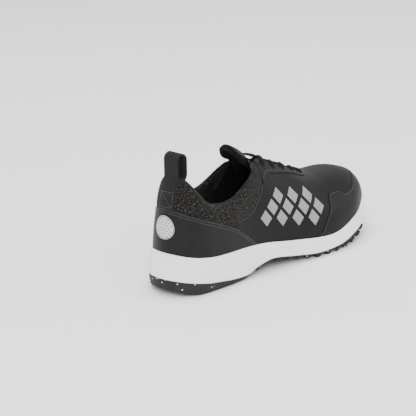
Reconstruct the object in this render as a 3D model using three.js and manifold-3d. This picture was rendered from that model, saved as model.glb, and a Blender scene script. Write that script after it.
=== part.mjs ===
// A right golf shoe with a spikeless rubber outsole, built in layers the way a shoemaker lasts one.
// Millimetres. While it is built, X is the station measured from the heel towards the toe, +Y is the
// big-toe side, -Y the outer side and Z the height above the ground. The group then moves the shoe so
// that its origin is on the ground, under the middle of its box.
import * as THREE from "three";
import { mergeVertices } from "three/addons/utils/BufferGeometryUtils.js";
import Module from "manifold-3d";

const wasm = await Module();
wasm.setup();

// ---------------------------------------------------------------- driving dimensions
const length = 302; // the stations below are for a 302 mm shoe, and another length stretches them
const STATION_LENGTH = 302;
const breadth = 105; // over the ball of the foot, at the bite line of the upper
const BALL_BREADTH = 105;

const clearance = 0.3; // between pieces that touch
const skin = 1.4; // outer leather and mesh
const lining = 1.2;
const film = 0.6; // side graphic and heel badge
const eyestayThickness = 1.0;
const counterThickness = 1.6;
const counterTop = 66; // height of the heel counter
const puffThickness = 1.0;
const padding = 4.8; // foam between the collar mesh and the lining
const strobelBoard = 1.6;
const sockliner = 3.8;
const toplineHeight = 3.2; // the band that closes the edge of the collar
const cupDepth = 5; // how far the upper sits below the midsole's rim before it bends in

const soleFlare = 3.7; // how far the sole stands out from the upper, at the midsole's lower edge
const rimFlare = 2.2; // and at its rim
const heelFlare = 3.0; // extra flare behind the heel
const rubber = 2.4; // outsole sheet
const shankThickness = 1.6;
const lugRadius = 6.2;
const lugPitch = 18;

const tongueThickness = 4.5;
const throatRecess = 6.8; // depth of the tongue below the eyestays, which leaves room for the lace
const tongueFace = 1.2; // its outer sheet, over the pad
const eyestayWidth = 12.5;
const eyeletRadius = 2.4;
const eyeletInset = 6; // from the throat's edge
const laceWidth = 3.6;
const laceThickness = 2.0;

const strapWidth = 19;
const strapThickness = 1.4;
const loopHeight = 135; // top of the pull loop
const heelBow = 4.8; // a strap of this width lies across the hollow of the heel
const badgeRadius = 11.5;
const badgeHeight = 66;

const flexStation = 216; // where the forefoot bends, at the joints of the toes
const flexHeight = 5; // the bending line lies inside the rubber
const flexOpening = 22; // degrees that the crease wedge leaves for the bend
const tongueHingeStation = 120;
const tongueGroove = 10; // degrees

// ---------------------------------------------------------------- profiles along the shoe
const stretch = length / STATION_LENGTH;
const widen = breadth / BALL_BREADTH;
const st = (station) => station * stretch;
const wide = (y) => y * widen;

// A smooth curve through (station, value) points that never overshoots them.
function profile(points) {
  const xs = points.map((p) => st(p[0]));
  const ys = points.map((p) => p[1]);
  const last = xs.length - 1;
  const run = xs.slice(1).map((x, i) => x - xs[i]);
  const slope = run.map((h, i) => (ys[i + 1] - ys[i]) / h);
  const tangent = xs.map((_, i) => {
    if (i === 0) return slope[0];
    if (i === last) return slope[last - 1];
    const [a, b] = [slope[i - 1], slope[i]];
    if (a * b <= 0) return 0;
    const wa = 2 * run[i] + run[i - 1];
    const wb = run[i] + 2 * run[i - 1];
    return (wa + wb) / (wa / a + wb / b);
  });
  return (x) => {
    const at = Math.min(Math.max(x, xs[0]), xs[last]);
    let i = 0;
    while (i < last - 1 && at > xs[i + 1]) i++;
    const t = (at - xs[i]) / run[i];
    const u = 1 - t;
    return (
      ys[i] * (1 + 2 * t) * u * u +
      ys[i + 1] * (3 - 2 * t) * t * t +
      run[i] * (tangent[i] * t * u * u - tangent[i + 1] * t * t * u)
    );
  };
}

// Bite line: where the upper meets the midsole, seen from above, as heel, outer side, toe, inner side.
const biteLine = [
  [5, 0], [12, -18.7], [30, -29], [60, -32.5], [100, -33.5], [145, -39.5], [185, -46.8],
  [215, -49.3], [245, -45.3], [264, -37], [278, -27], [289, -12], [294, 7], [289, 26], [275, 40],
  [248, 50], [215, 52.5], [185, 48.5], [145, 37.5], [100, 32], [60, 34], [30, 31], [12, 19.8],
];
const TOE_POINT = 12; // its place in the list

const rimHeight = profile([
  [0, 43.5], [25, 37], [50, 34], [80, 33], [110, 31], [150, 25], [200, 20], [240, 29], [275, 42],
  [300, 51]
]);
const midsoleBottom = profile([
  [0, 18], [40, 9], [85, 4.4], [100, 9], [120, 13], [150, 8.8], [185, 5], [215, 7], [240, 13],
  [270, 19.5], [300, 27]
]);
const groundLine = profile([
  [0, 8], [15, 2], [26, 0], [82, 0], [97, 4], [115, 10], [150, 6], [185, 0], [212, 0], [225, 0.7],
  [250, 4.5], [275, 10], [300, 18]
]);
const bedHeight = profile([
  [0, 32], [50, 26.5], [80, 25], [110, 22.5], [150, 17.5], [200, 13.5], [240, 18], [275, 26],
  [300, 33]
]);
const ridgeHeight = profile([
  [40, 138.5], [70, 138], [100, 127], [120, 116.5], [150, 100], [175, 89.5], [200, 78],
  [225, 71.5], [250, 69.5]
]);
const ridgeOffset = profile([[40, 0], [120, 2], [200, 5], [250, 5]]);
const sidePower = profile([[40, 2.44], [120, 2.15], [200, 2.06], [250, 2.41]]);
const risePower = profile([[40, 1.57], [120, 1.85], [200, 2.1], [250, 2.38]]);
const ridgeStart = st(40);
const ridgeEnd = st(250);

// Half outlines of the bite line, as tables of y against the station.
const bite = new THREE.CatmullRomCurve3(
  biteLine.map(([x, y]) => new THREE.Vector3(st(x), wide(y), 0)), true, "centripetal");
const HALF_STEPS = 300;
function halfOutline(from, to) {
  const steps = Array.from({ length: HALF_STEPS + 1 }, (_, i) => i / HALF_STEPS);
  return steps.map((f) => bite.getPoint((from + (to - from) * f) / biteLine.length));
}
const outerHalf = halfOutline(0, TOE_POINT);
const innerHalf = halfOutline(biteLine.length, TOE_POINT);
function breadthAt(half, x) {
  let i = 0;
  while (i < half.length - 2 && half[i + 1].x < x) i++;
  const span = half[i + 1].x - half[i].x;
  const t = THREE.MathUtils.clamp((x - half[i].x) / span, 0, 1);
  return half[i].y + (half[i + 1].y - half[i].y) * t;
}

// Clamps a station softly between the two ends of the ridge line.
const SOFTNESS = 7;
const softplus = (v) => Math.log1p(Math.exp(v));
function ridgeStation(x) {
  const low = softplus((x - ridgeStart) / SOFTNESS) * SOFTNESS + ridgeStart;
  return ridgeEnd - softplus((ridgeEnd - low) / SOFTNESS) * SOFTNESS;
}

// Point of the upper's outer surface. The rise runs from 0 at the bite line to 1 on the ridge.
function upperPoint(x, half, rise) {
  const y = breadthAt(half, x);
  const qx = ridgeStation(x);
  const qy = wide(ridgeOffset(qx));
  const theta = (rise * Math.PI) / 2;
  const inward = 1 - Math.cos(theta) ** (2 / sidePower(qx));
  const up = Math.sin(theta) ** (2 / risePower(qx));
  const low = rimHeight(x) - cupDepth;
  return new THREE.Vector3(
    x + (qx - x) * inward, y + (qy - y) * inward, low + (ridgeHeight(qx) - low) * up);
}

// ---------------------------------------------------------------- solids
const { Manifold, Mesh: SolidMesh } = wasm;

function solidFrom(geometry) {
  const bare = geometry.clone();
  bare.deleteAttribute("normal");
  bare.deleteAttribute("uv");
  const merged = mergeVertices(bare, 1e-4);
  const index = merged.index.array;
  const kept = [];
  for (let i = 0; i < index.length; i += 3) {
    const [a, b, c] = [index[i], index[i + 1], index[i + 2]];
    if (a !== b && b !== c && c !== a) kept.push(a, b, c);
  }
  return new Manifold(new SolidMesh({
    numProp: 3,
    vertProperties: merged.attributes.position.array,
    triVerts: new Uint32Array(kept),
  }));
}

// A closed solid from rings of points. Rings join in order, and the first and last are capped.
function loft(rings, capped = false) {
  const positions = [];
  const face = (a, b, c) => positions.push(...a.toArray(), ...b.toArray(), ...c.toArray());
  const around = rings[0].length;
  for (let i = 0; i < rings.length - 1; i++) {
    for (let k = 0; k < around; k++) {
      const n = (k + 1) % around;
      face(rings[i][k], rings[i + 1][k], rings[i + 1][n]);
      face(rings[i][k], rings[i + 1][n], rings[i][n]);
    }
  }
  if (capped) {
    const [first, end] = [rings[0], rings[rings.length - 1]];
    for (let k = 1; k < around - 1; k++) {
      face(first[0], first[k], first[k + 1]);
      face(end[0], end[k + 1], end[k]);
    }
  }
  return solidFrom(outward(positions));
}

function outward(positions) {
  let volume = 0;
  const corner = (i) => new THREE.Vector3().fromArray(positions, i);
  for (let i = 0; i < positions.length; i += 9) {
    volume += corner(i).dot(corner(i + 3).cross(corner(i + 6)));
  }
  if (volume < 0) {
    for (let i = 0; i < positions.length; i += 9) {
      const swapped = positions.slice(i + 3, i + 6);
      positions.splice(i + 3, 3, ...positions.slice(i + 6, i + 9));
      positions.splice(i + 6, 3, ...swapped);
    }
  }
  return new THREE.BufferGeometry().setAttribute(
    "position", new THREE.Float32BufferAttribute(positions, 3));
}

const SECTIONS = 28;
const RISES = [0, 0.26, 0.5, 0.7, 0.87, 1];
const [heelBack, toeTip] = [outerHalf[0].x, outerHalf[HALF_STEPS].x];
const middle = (heelBack + toeTip) / 2;
const stations = Array.from({ length: SECTIONS + 1 },
  (_, i) => middle - ((toeTip - heelBack) / 2) * Math.cos((Math.PI * i) / SECTIONS));

// Section arches of the upper's outer surface with their outward normals, outer side first.
const arches = stations.map((x) => [
  ...RISES.map((rise) => upperPoint(x, outerHalf, rise)),
  ...RISES.slice(0, -1).reverse().map((rise) => upperPoint(x, innerHalf, rise)),
]);
const COLUMNS = arches[0].length;
const RIDGE = RISES.length - 1;
const archPoint = (i, k) => {
  if (i < 0) return arches[1][COLUMNS - 1 - k];
  if (i > SECTIONS) return arches[SECTIONS - 1][COLUMNS - 1 - k];
  return arches[i][k];
};
const normals = arches.map((arch, i) => arch.map((_, k) => {
  if (k === RIDGE) {
    const x = ridgeStation(stations[i]);
    const slope = ridgeHeight(x + 1) - ridgeHeight(x - 1);
    return new THREE.Vector3(-slope / 2, 0, 1).normalize();
  }
  const along = archPoint(i + 1, k).clone().sub(archPoint(i - 1, k));
  const [below, above] = [Math.max(k - 1, 0), Math.min(k + 1, COLUMNS - 1)];
  const across = arch[above].clone().sub(arch[below]);
  if (k === 0) across.set(0, 0, 1);
  if (k === COLUMNS - 1) across.set(0, 0, -1);
  return along.cross(across).normalize();
}));

// The solid inside the upper's surface moved outwards by an offset, standing on a floor. Both are
// numbers or functions of the station.
const asFunction = (value) => (typeof value === "function" ? value : () => value);
function lastSolid(offset, floor) {
  const [out, base] = [asFunction(offset), asFunction(floor)];
  const rings = arches.map((arch, i) => {
    const moved = arch.map((p, k) => p.clone().addScaledVector(normals[i][k], out(stations[i])));
    const foot = (p) => new THREE.Vector3(p.x, p.y, base(stations[i]));
    return [foot(moved[0]), ...moved, foot(moved[COLUMNS - 1])];
  });
  return loft(rings);
}

const boardTop = (x) => bedHeight(x) + clearance + strobelBoard;
const upperFloor = (x) => boardTop(x) + clearance;
const THROUGH = 12; // how far a cutting solid passes the surface that it opens

// One layer of the upper, between two depths below the outer surface (positive is outwards).
function layer(inner, outer, floor = upperFloor) {
  const core = lastSolid(inner, (x) => floor(x) - THROUGH);
  return lastSolid(outer, floor).subtract(core);
}

// A prism with an outline in station and height, running across the shoe.
const ACROSS = 90;
function sidePrism(points, low = -ACROSS, high = ACROSS) {
  const shape = new THREE.Shape(points.map(([x, z]) => new THREE.Vector2(x, z)));
  const geometry = new THREE.ExtrudeGeometry(shape, { depth: high - low, bevelEnabled: false });
  return solidFrom(geometry.rotateX(Math.PI / 2).translate(0, high, 0));
}

// A prism with an outline seen from above.
function planPrism(points, low = -20, high = 200) {
  const shape = new THREE.Shape(points.map(([x, y]) => new THREE.Vector2(x, y)));
  const geometry = new THREE.ExtrudeGeometry(shape, { depth: high - low, bevelEnabled: false });
  return solidFrom(geometry.translate(0, 0, low));
}

function span(from, to, count) {
  return Array.from({ length: count + 1 }, (_, i) => from + ((to - from) * i) / count);
}

// The bite line moved outwards in plan, at one section: its outer and inner point.
function outlineAt(i, offset) {
  const push = (k) => {
    const normal = normals[i][k].clone().setZ(0).normalize();
    return arches[i][k].clone().addScaledVector(normal, offset);
  };
  return [push(0), push(COLUMNS - 1)];
}

// A slab or dish that follows the bite line: levels run from the underside up to the top.
function slab(levels) {
  const rings = stations.map((x, i) => {
    const sides = levels.map(({ offset, height }) =>
      outlineAt(i, asFunction(offset)(x)).map((p) => p.setZ(height(x))));
    return [...sides.map((s) => s[0]), ...sides.map((s) => s[1]).reverse()];
  });
  return loft(rings);
}

// ---------------------------------------------------------------- bodies and materials
const shoe = new THREE.Group();
const finish = (color, roughness) => new THREE.MeshStandardMaterial({ color, roughness, metalness: 0 });
const leather = finish(0x302f31, 0.5);
const gloss = finish(0x3b393c, 0.4);
const knit = finish(0x302e2b, 0.9);
const textile = finish(0x151514, 0.95);
const foam = finish(0x3a3a3a, 0.95);
const board = finish(0xb5b0a4, 0.9);
const plastic = finish(0x707276, 0.5);
const evaWhite = finish(0xe8e8ec, 0.55);
const blackRubber = finish(0x3b3c3b, 0.7);
const webbing = finish(0x313031, 0.9);
const laceCord = finish(0x1c1c1c, 0.85);
const greyFilm = finish(0x909090, 0.5);
const whiteFilm = finish(0xcacacc, 0.5);

function add(name, solid, material) {
  const { vertProperties, triVerts } = solid.getMesh();
  const geometry = new THREE.BufferGeometry()
    .setAttribute("position", new THREE.BufferAttribute(vertProperties, 3))
    .setIndex(new THREE.BufferAttribute(triVerts, 1));
  geometry.computeVertexNormals();
  const mesh = new THREE.Mesh(geometry, material);
  mesh.name = name;
  shoe.add(mesh);
}

// ---------------------------------------------------------------- forefoot flex
const flexX = st(flexStation);
const SKY = 300;
const lean = Math.tan(THREE.MathUtils.degToRad(flexOpening)) * (SKY - flexHeight);
const [behind, ahead] = [-60, length + 60];
const rearEnd = flexX - clearance;
const rearZone = sidePrism([[behind, -SKY], [rearEnd, -SKY], [rearEnd, SKY], [behind, SKY]]);
const creaseZone = sidePrism([[flexX, flexHeight + 1], [flexX + lean, SKY], [flexX, SKY]]);
const foreZone = sidePrism([
  [flexX + clearance, -SKY], [ahead, -SKY], [ahead, SKY], [flexX + lean + 2 * clearance, SKY],
  [flexX + 2 * clearance, flexHeight]]);

// A layer that runs from heel to toe is laid down as a rear part, a crease part and a fore part.
function addAlong(name, solid, material) {
  add(`${name}_rear`, solid.intersect(rearZone), material);
  add(`${name}_crease`, solid.intersect(creaseZone), material);
  add(`${name}_fore`, solid.intersect(foreZone), material);
}

// ---------------------------------------------------------------- sole unit
const heelness = (x) => THREE.MathUtils.clamp((st(40) - x) / st(40), 0, 1);
const flareAt = (x) => soleFlare + heelFlare * heelness(x);
const shankZone = { from: st(92), to: st(186), half: wide(17) };

const upperCavity = lastSolid(clearance, bedHeight);
const shankPocket = (gap) => {
  const { from, to, half } = shankZone;
  const rows = [from - gap, ...stations.filter((x) => x > from && x < to), to + gap];
  const lift = (x, up) => midsoleBottom(x) + up;
  const rings = rows.map((x) => {
    const y = half + gap - ((half - wide(11)) * Math.sin((Math.PI * (x - from)) / (to - from))) / 1.5;
    const [low, high] = [gap ? -THROUGH : 0, shankThickness + gap];
    return [[-y, low], [y, low], [y, high], [-y, high]].map(
      ([across, up]) => new THREE.Vector3(x, across + wide(2), lift(x, up)));
  });
  return loft(rings, true);
};
const betweenRimAndBottom = (f) => (x) => midsoleBottom(x) + (rimHeight(x) - midsoleBottom(x)) * f;
const midsole = slab([
  { offset: (x) => flareAt(x) - 1.2, height: betweenRimAndBottom(0) },
  { offset: flareAt, height: betweenRimAndBottom(0.1) },
  { offset: (x) => flareAt(x) * 0.55 + rimFlare * 0.45, height: betweenRimAndBottom(0.6) },
  { offset: rimFlare, height: betweenRimAndBottom(1) },
]).subtract(upperCavity).subtract(shankPocket(clearance));
addAlong("midsole", midsole, evaWhite);
add("shank_plate", shankPocket(0), plastic);

// The rubber hugs the midsole's underside. Its lugs stand on the ground line.
const rubberTop = (x) => midsoleBottom(x) - clearance;
const rubberBottom = (x) => {
  const room = rubberTop(x) - groundLine(x);
  return rubberTop(x) - Math.max(rubber, room * 0.55 * (1 + 0.35 * heelness(x)));
};
const sheet = slab([
  { offset: (x) => flareAt(x) - 4, height: rubberBottom },
  { offset: (x) => flareAt(x) - 1.6, height: (x) => (rubberBottom(x) + rubberTop(x)) / 2 },
  { offset: (x) => flareAt(x) - 0.8, height: rubberTop },
]);
const LUG_SIDES = 6;
const MIN_LUG = 1.2;
function lug(x, y, radius) {
  const ring = (scale, height) => Array.from({ length: LUG_SIDES }, (_, i) => {
    const angle = (2 * Math.PI * i) / LUG_SIDES;
    const px = x + radius * scale * Math.cos(angle);
    return new THREE.Vector3(px, y + radius * scale * Math.sin(angle), height(px));
  });
  return loft([
    ring(0.72, groundLine),
    ring(1, (px) => (rubberBottom(px) + rubberTop(px)) / 2),
  ], true);
}
const lugs = [];
const rows = Math.floor((length - 2 * lugPitch) / (lugPitch * 0.87));
for (let row = 0; row <= rows; row++) {
  const x = lugPitch + row * lugPitch * 0.87;
  const stagger = row % 2 ? lugPitch / 2 : 0;
  const depth = rubberBottom(x) - groundLine(x);
  if (depth < MIN_LUG || Math.abs(x - flexX) < lugRadius + clearance * 2) continue;
  const reach = lugRadius + 1 - Math.min(flareAt(x), soleFlare);
  for (let step = -4; step <= 4; step++) {
    const y = step * lugPitch + stagger;
    const [left, right] = [breadthAt(outerHalf, x) + reach, breadthAt(innerHalf, x) - reach];
    if (y > left && y < right) lugs.push(lug(x, y, lugRadius));
  }
}
const outsole = lugs.reduce((whole, one) => whole.add(one), sheet);
add("outsole_rear", outsole.intersect(rearZone), blackRubber);
add("outsole_fore", outsole.intersect(foreZone), blackRubber);

// ---------------------------------------------------------------- insole
const inside = -(skin + clearance * 2);
const strobel = slab([
  { offset: inside, height: (x) => bedHeight(x) + clearance },
  { offset: inside, height: boardTop },
]);
addAlong("strobel_board", strobel, board);

// ---------------------------------------------------------------- depths of the upper's layers
// The lining lies deeper round the heel, where it covers the collar foam, and at the toe puff.
const padFade = profile([[0, 0.4], [20, 0.45], [45, 1], [78, 1], [106, 0], [300, 0]]);
const puffFade = profile([[0, 0], [236, 0], [248, 1], [300, 1]]);
const underSkin = -(skin + clearance);
const liningOuter = (x) => underSkin - (padding + clearance) * padFade(x)
  - (puffThickness + clearance) * puffFade(x);
const liningInner = (x) => liningOuter(x) - lining;

const linerFit = (x) => liningInner(x) - clearance * 3;
const sock = slab([
  { offset: linerFit, height: (x) => boardTop(x) + clearance },
  { offset: linerFit, height: (x) => boardTop(x) + clearance + sockliner },
]);
addAlong("sockliner", sock, textile);

// ---------------------------------------------------------------- openings of the upper
const collarLine = profile([
  [-5, 117], [14, 117], [22, 112], [31, 101], [40, 89.5], [50, 84.5], [63, 83], [78, 85],
  [92, 91.5], [104, 98.5], [112, 103.5]
]);
const collarFront = st(112);
const collarOpening = (drop) => sidePrism([
  ...span(0, collarFront, 20).map((x) => [x, collarLine(x) - drop]),
  [collarFront, SKY], [behind, SKY], [behind, collarLine(0) - drop]]);
const throatHalf = profile([
  [104, 18.5], [112, 17.8], [120, 15.5], [131, 11], [158, 8.5], [180, 7], [196, 5.5], [202, 4],
  [206, 0]
]);
const throatEnd = st(206);
const THROAT_FLOOR = 55;
function throatOpening(grow, end = throatEnd + grow) {
  const xs = span(st(100), end, 16);
  const edge = (side) => xs.map((x) => {
    const inset = Math.min(x - grow, throatEnd);
    return [x, wide(ridgeOffset(x)) + side * (wide(throatHalf(inset)) + grow)];
  });
  return planPrism([...edge(-1), ...edge(1).reverse()], THROAT_FLOOR);
}
const mouth = collarOpening(0).add(throatOpening(0));
const mouthWithTopline = collarOpening(toplineHeight).add(throatOpening(0));

// Eyelets in rows down the throat, from the toe end up to the ankle.
const eyeletStations = [200, 184, 167, 149, 131].map(st);
const eyeletY = (x, side) => wide(ridgeOffset(x)) + side * (wide(throatHalf(x)) + eyeletInset);

// Surface point and normal above a plan position between the two ends of the ridge.
function surfaceAt(x, y, depth = 0) {
  const pointAt = (px, py) => {
    const half = py < wide(ridgeOffset(px)) ? outerHalf : innerHalf;
    const [edge, spine] = [breadthAt(half, px), wide(ridgeOffset(px))];
    const inward = THREE.MathUtils.clamp((py - edge) / (spine - edge), 0, 1);
    const cos = (1 - inward) ** (sidePower(px) / 2);
    const up = Math.sqrt(1 - cos * cos) ** (2 / risePower(px));
    const low = rimHeight(px) - cupDepth;
    return new THREE.Vector3(px, py, low + (ridgeHeight(px) - low) * up);
  };
  const [dx, dy] = [
    pointAt(x + 1, y).sub(pointAt(x - 1, y)), pointAt(x, y + 1).sub(pointAt(x, y - 1))];
  return pointAt(x, y).addScaledVector(dx.cross(dy).normalize(), depth);
}
const HOLE_DEPTH = 14;
function eyeletHole(x, side) {
  const y = eyeletY(x, side);
  const [bottom, top] = [surfaceAt(x, y, -HOLE_DEPTH / 2), surfaceAt(x, y, HOLE_DEPTH / 2)];
  const geometry = new THREE.CylinderGeometry(eyeletRadius, eyeletRadius, HOLE_DEPTH, 8);
  geometry.rotateX(Math.PI / 2);
  const aim = new THREE.Object3D();
  aim.position.copy(bottom).add(top).multiplyScalar(0.5);
  aim.lookAt(top);
  aim.updateMatrix();
  return solidFrom(geometry.applyMatrix4(aim.matrix));
}
const eyeletHoles = eyeletStations.flatMap((x) => [eyeletHole(x, -1), eyeletHole(x, 1)])
  .reduce((all, one) => all.add(one));

// ---------------------------------------------------------------- outer skin and its panels
const skinLayer = layer(-skin, 0);
const heelCapTop = profile([
  [-5, 87], [5, 86.5], [18, 80.5], [31, 74.5], [56, 64], [75, 54.5], [91, 42.5], [104, 30.5],
  [112, 20]
]);
const heelCapFront = st(112);
const belowHeelCap = (raise) => sidePrism([
  [behind, -SKY], [heelCapFront + raise, -SKY],
  ...span(heelCapFront, 0, 14).map((x) => [x + raise, heelCapTop(x) + raise]),
  [behind, heelCapTop(0) + raise]]);
const guardEdge = [
  [168, -SKY], [176, 19], [186, 24], [198, 38], [206, 47], [209, 55], [215, 58.5], [225, 58.5],
  [235, 54], [246, 55], [258, 58.5], [268, 61.5], [276, 63], [330, 66], [330, -SKY],
].map(([x, z]) => [st(x), z]);
const guardZone = (shift) => sidePrism(guardEdge.map(([x, z]) => [x - shift, z + shift]));
const meshEdge = [
  [70, 50], [80, 61], [90, 63], [98, 67], [107, 76], [115, 86], [122, 95], [130, 108], [136, SKY],
].map(([x, z]) => [st(x), z]);
const meshZone = (shift) => sidePrism([
  [behind, 20], [meshEdge[0][0] + shift, 20], ...meshEdge.map(([x, z]) => [x + shift, z]), [behind, SKY]]);
const outerSide = planPrism([[behind, -ACROSS], [ahead, -ACROSS],
  ...span(ahead, behind, 12).map((x) => [x, wide(ridgeOffset(x)) - clearance / 2])]);
const innerSide = planPrism([[behind, ACROSS], [ahead, ACROSS],
  ...span(ahead, behind, 12).map((x) => [x, wide(ridgeOffset(x)) + clearance / 2])]);

const openedSkin = skinLayer.subtract(mouthWithTopline).subtract(eyeletHoles);
add("heel_cap", openedSkin.intersect(belowHeelCap(0)), gloss);
const aboveCap = openedSkin.subtract(belowHeelCap(clearance)).subtract(guardZone(clearance));
const collarMesh = aboveCap.intersect(meshZone(0));
const quarters = aboveCap.subtract(meshZone(clearance)).intersect(rearZone);
add("collar_mesh_lateral", collarMesh.intersect(outerSide), knit);
add("collar_mesh_medial", collarMesh.intersect(innerSide), knit);
add("quarter_lateral", quarters.intersect(outerSide), leather);
add("quarter_medial", quarters.intersect(innerSide), leather);
add("vamp_crease", openedSkin.intersect(creaseZone), leather);
const foreSkin = openedSkin.intersect(foreZone);
add("vamp", foreSkin.subtract(guardZone(clearance)), leather);
add("toe_guard", foreSkin.intersect(guardZone(0)), gloss);
const wings = openedSkin.intersect(rearZone).intersect(guardZone(0));
add("toe_guard_wing_lateral", wings.intersect(outerSide), gloss);
add("toe_guard_wing_medial", wings.intersect(innerSide), gloss);

// ---------------------------------------------------------------- stiffeners, foam and lining
const counterFront = st(92);
const counterBox = (grow) => sidePrism([
  [behind, -SKY], [counterFront + grow, -SKY], [counterFront + grow, 38],
  [st(70), counterTop + grow], [behind, counterTop + grow]]);
add("heel_counter", layer(underSkin - counterThickness, underSkin).intersect(counterBox(0)), plastic);
const foamZone = sidePrism([[behind, -SKY], [st(96), -SKY], [st(96), SKY], [behind, SKY]]);
const foamLayer = layer((x) => liningOuter(x) + clearance, underSkin);
const counterSpace = layer(
  underSkin - counterThickness - clearance, underSkin + clearance, (x) => upperFloor(x) - 1)
  .intersect(counterBox(3 * clearance));
add("collar_foam", foamLayer.intersect(foamZone).subtract(mouthWithTopline).subtract(counterSpace), foam);
const puffZone = sidePrism([[st(249), -SKY], [ahead, -SKY], [ahead, SKY], [st(249), SKY]]);
add("toe_puff", layer(underSkin - puffThickness, underSkin).intersect(puffZone), plastic);

const liningLayer = layer(liningInner, liningOuter).subtract(mouthWithTopline).subtract(eyeletHoles);
const heelHalf = sidePrism([[behind, -SKY], [collarFront, -SKY], [collarFront, SKY], [behind, SKY]]);
const frontHalf = sidePrism([
  [collarFront + clearance, -SKY], [ahead, -SKY], [ahead, SKY], [collarFront + clearance, SKY]]);
add("collar_lining", liningLayer.intersect(heelHalf), textile);
addAlong("lining", liningLayer.intersect(frontHalf), textile);

// The topline closes the edge of the collar over mesh, foam and lining.
const toplineZone = collarOpening(toplineHeight - clearance).subtract(collarOpening(0))
  .intersect(sidePrism([[behind, -SKY], [st(107), -SKY], [st(107), SKY], [behind, SKY]]));
add("collar_topline", layer(liningInner, 0).intersect(toplineZone), knit);

// ---------------------------------------------------------------- overlays
const overlay = (thickness) => layer(clearance, clearance + thickness);
const eyestayBand = throatOpening(eyestayWidth, st(210))
  .subtract(sidePrism([[behind, -SKY], [st(115), -SKY], [st(122), SKY], [behind, SKY]]));
const eyestay = overlay(eyestayThickness).intersect(eyestayBand).subtract(mouth)
  .subtract(throatOpening(clearance, st(212))).subtract(eyeletHoles);
add("eyestay_lateral", eyestay.intersect(outerSide), leather);
add("eyestay_medial", eyestay.intersect(innerSide), leather);

const graphicOutline = [[96, 39], [182, 36], [206, 62], [200, 72], [136, 84], [124, 72]]
  .map(([x, z]) => [st(x), z]);
const graphic = overlay(film).intersect(sidePrism(graphicOutline))
  .subtract(throatOpening(eyestayWidth + 1, st(211)));
add("side_graphic_lateral", graphic.intersect(outerSide), greyFilm);
add("side_graphic_medial", graphic.intersect(innerSide), greyFilm);

const badgeCut = new THREE.CylinderGeometry(badgeRadius, badgeRadius, st(40), 20)
  .rotateZ(Math.PI / 2).translate(0, 0, badgeHeight);
add("heel_badge", overlay(film).intersect(solidFrom(badgeCut)), whiteFilm);

// ---------------------------------------------------------------- tongue
// Strips that follow the instep: an outer face and a soft pad under it, cut where the tongue folds.
const tongueDepth = profile([
  [97, -0.5], [112, -1.8], [120, -5.6], [124, -throatRecess], [203, -throatRecess],
  [208, liningInner(st(208)) - clearance * 1.5], [212, liningInner(st(212)) - clearance * 1.5]]);
const tongueHalf = profile([
  [97, 11.5], [99.5, 14], [106, 15.2], [112, 15], [117, 15], [125, 21], [136, 25], [160, 25],
  [200, 18], [212, 14]
]);
const tongueTop = st(97);
const tongueFoot = st(210.5);
const tongueHinge = st(tongueHingeStation);
function tongueStrip(from, to, steps, high, low) {
  const acrossSteps = span(-1, 1, 6);
  const rings = span(from, to, steps).map((x) => {
    const row = (sink) => acrossSteps.map((f) => surfaceAt(
      x, wide(ridgeOffset(x)) + f * wide(tongueHalf(x)), tongueDepth(x) - sink));
    return [...row(high), ...row(low).reverse()];
  });
  return loft(rings, true);
}
const hingeTop = surfaceAt(tongueHinge, wide(ridgeOffset(tongueHinge)), tongueDepth(tongueHinge));
const GROOVE_DEPTH = 40;
const grooveWidth = Math.tan(THREE.MathUtils.degToRad(tongueGroove)) * GROOVE_DEPTH;
const [foldBehind, foldAhead] = [tongueHinge - clearance / 2, tongueHinge + clearance / 2];
const grooveFloor = hingeTop.z - GROOVE_DEPTH;
const topZone = sidePrism([[behind, grooveFloor], [foldBehind - grooveWidth, grooveFloor],
  [foldBehind, hingeTop.z], [foldBehind, SKY], [behind, SKY]]);
const lowerZone = sidePrism([[foldAhead, -SKY], [ahead, -SKY], [ahead, SKY], [foldAhead, SKY]]);
const padTop = tongueFace + 2 * clearance;
for (const [name, high, low, material] of [
  ["tongue_face", 0, tongueFace, leather],
  ["tongue_pad", padTop, tongueThickness, foam],
]) {
  const strip = tongueStrip(tongueTop, tongueFoot, 13, high, low);
  add(`${name}_lower`, strip.intersect(lowerZone), material);
  add(`${name}_top`, strip.intersect(topZone), material);
}

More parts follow.
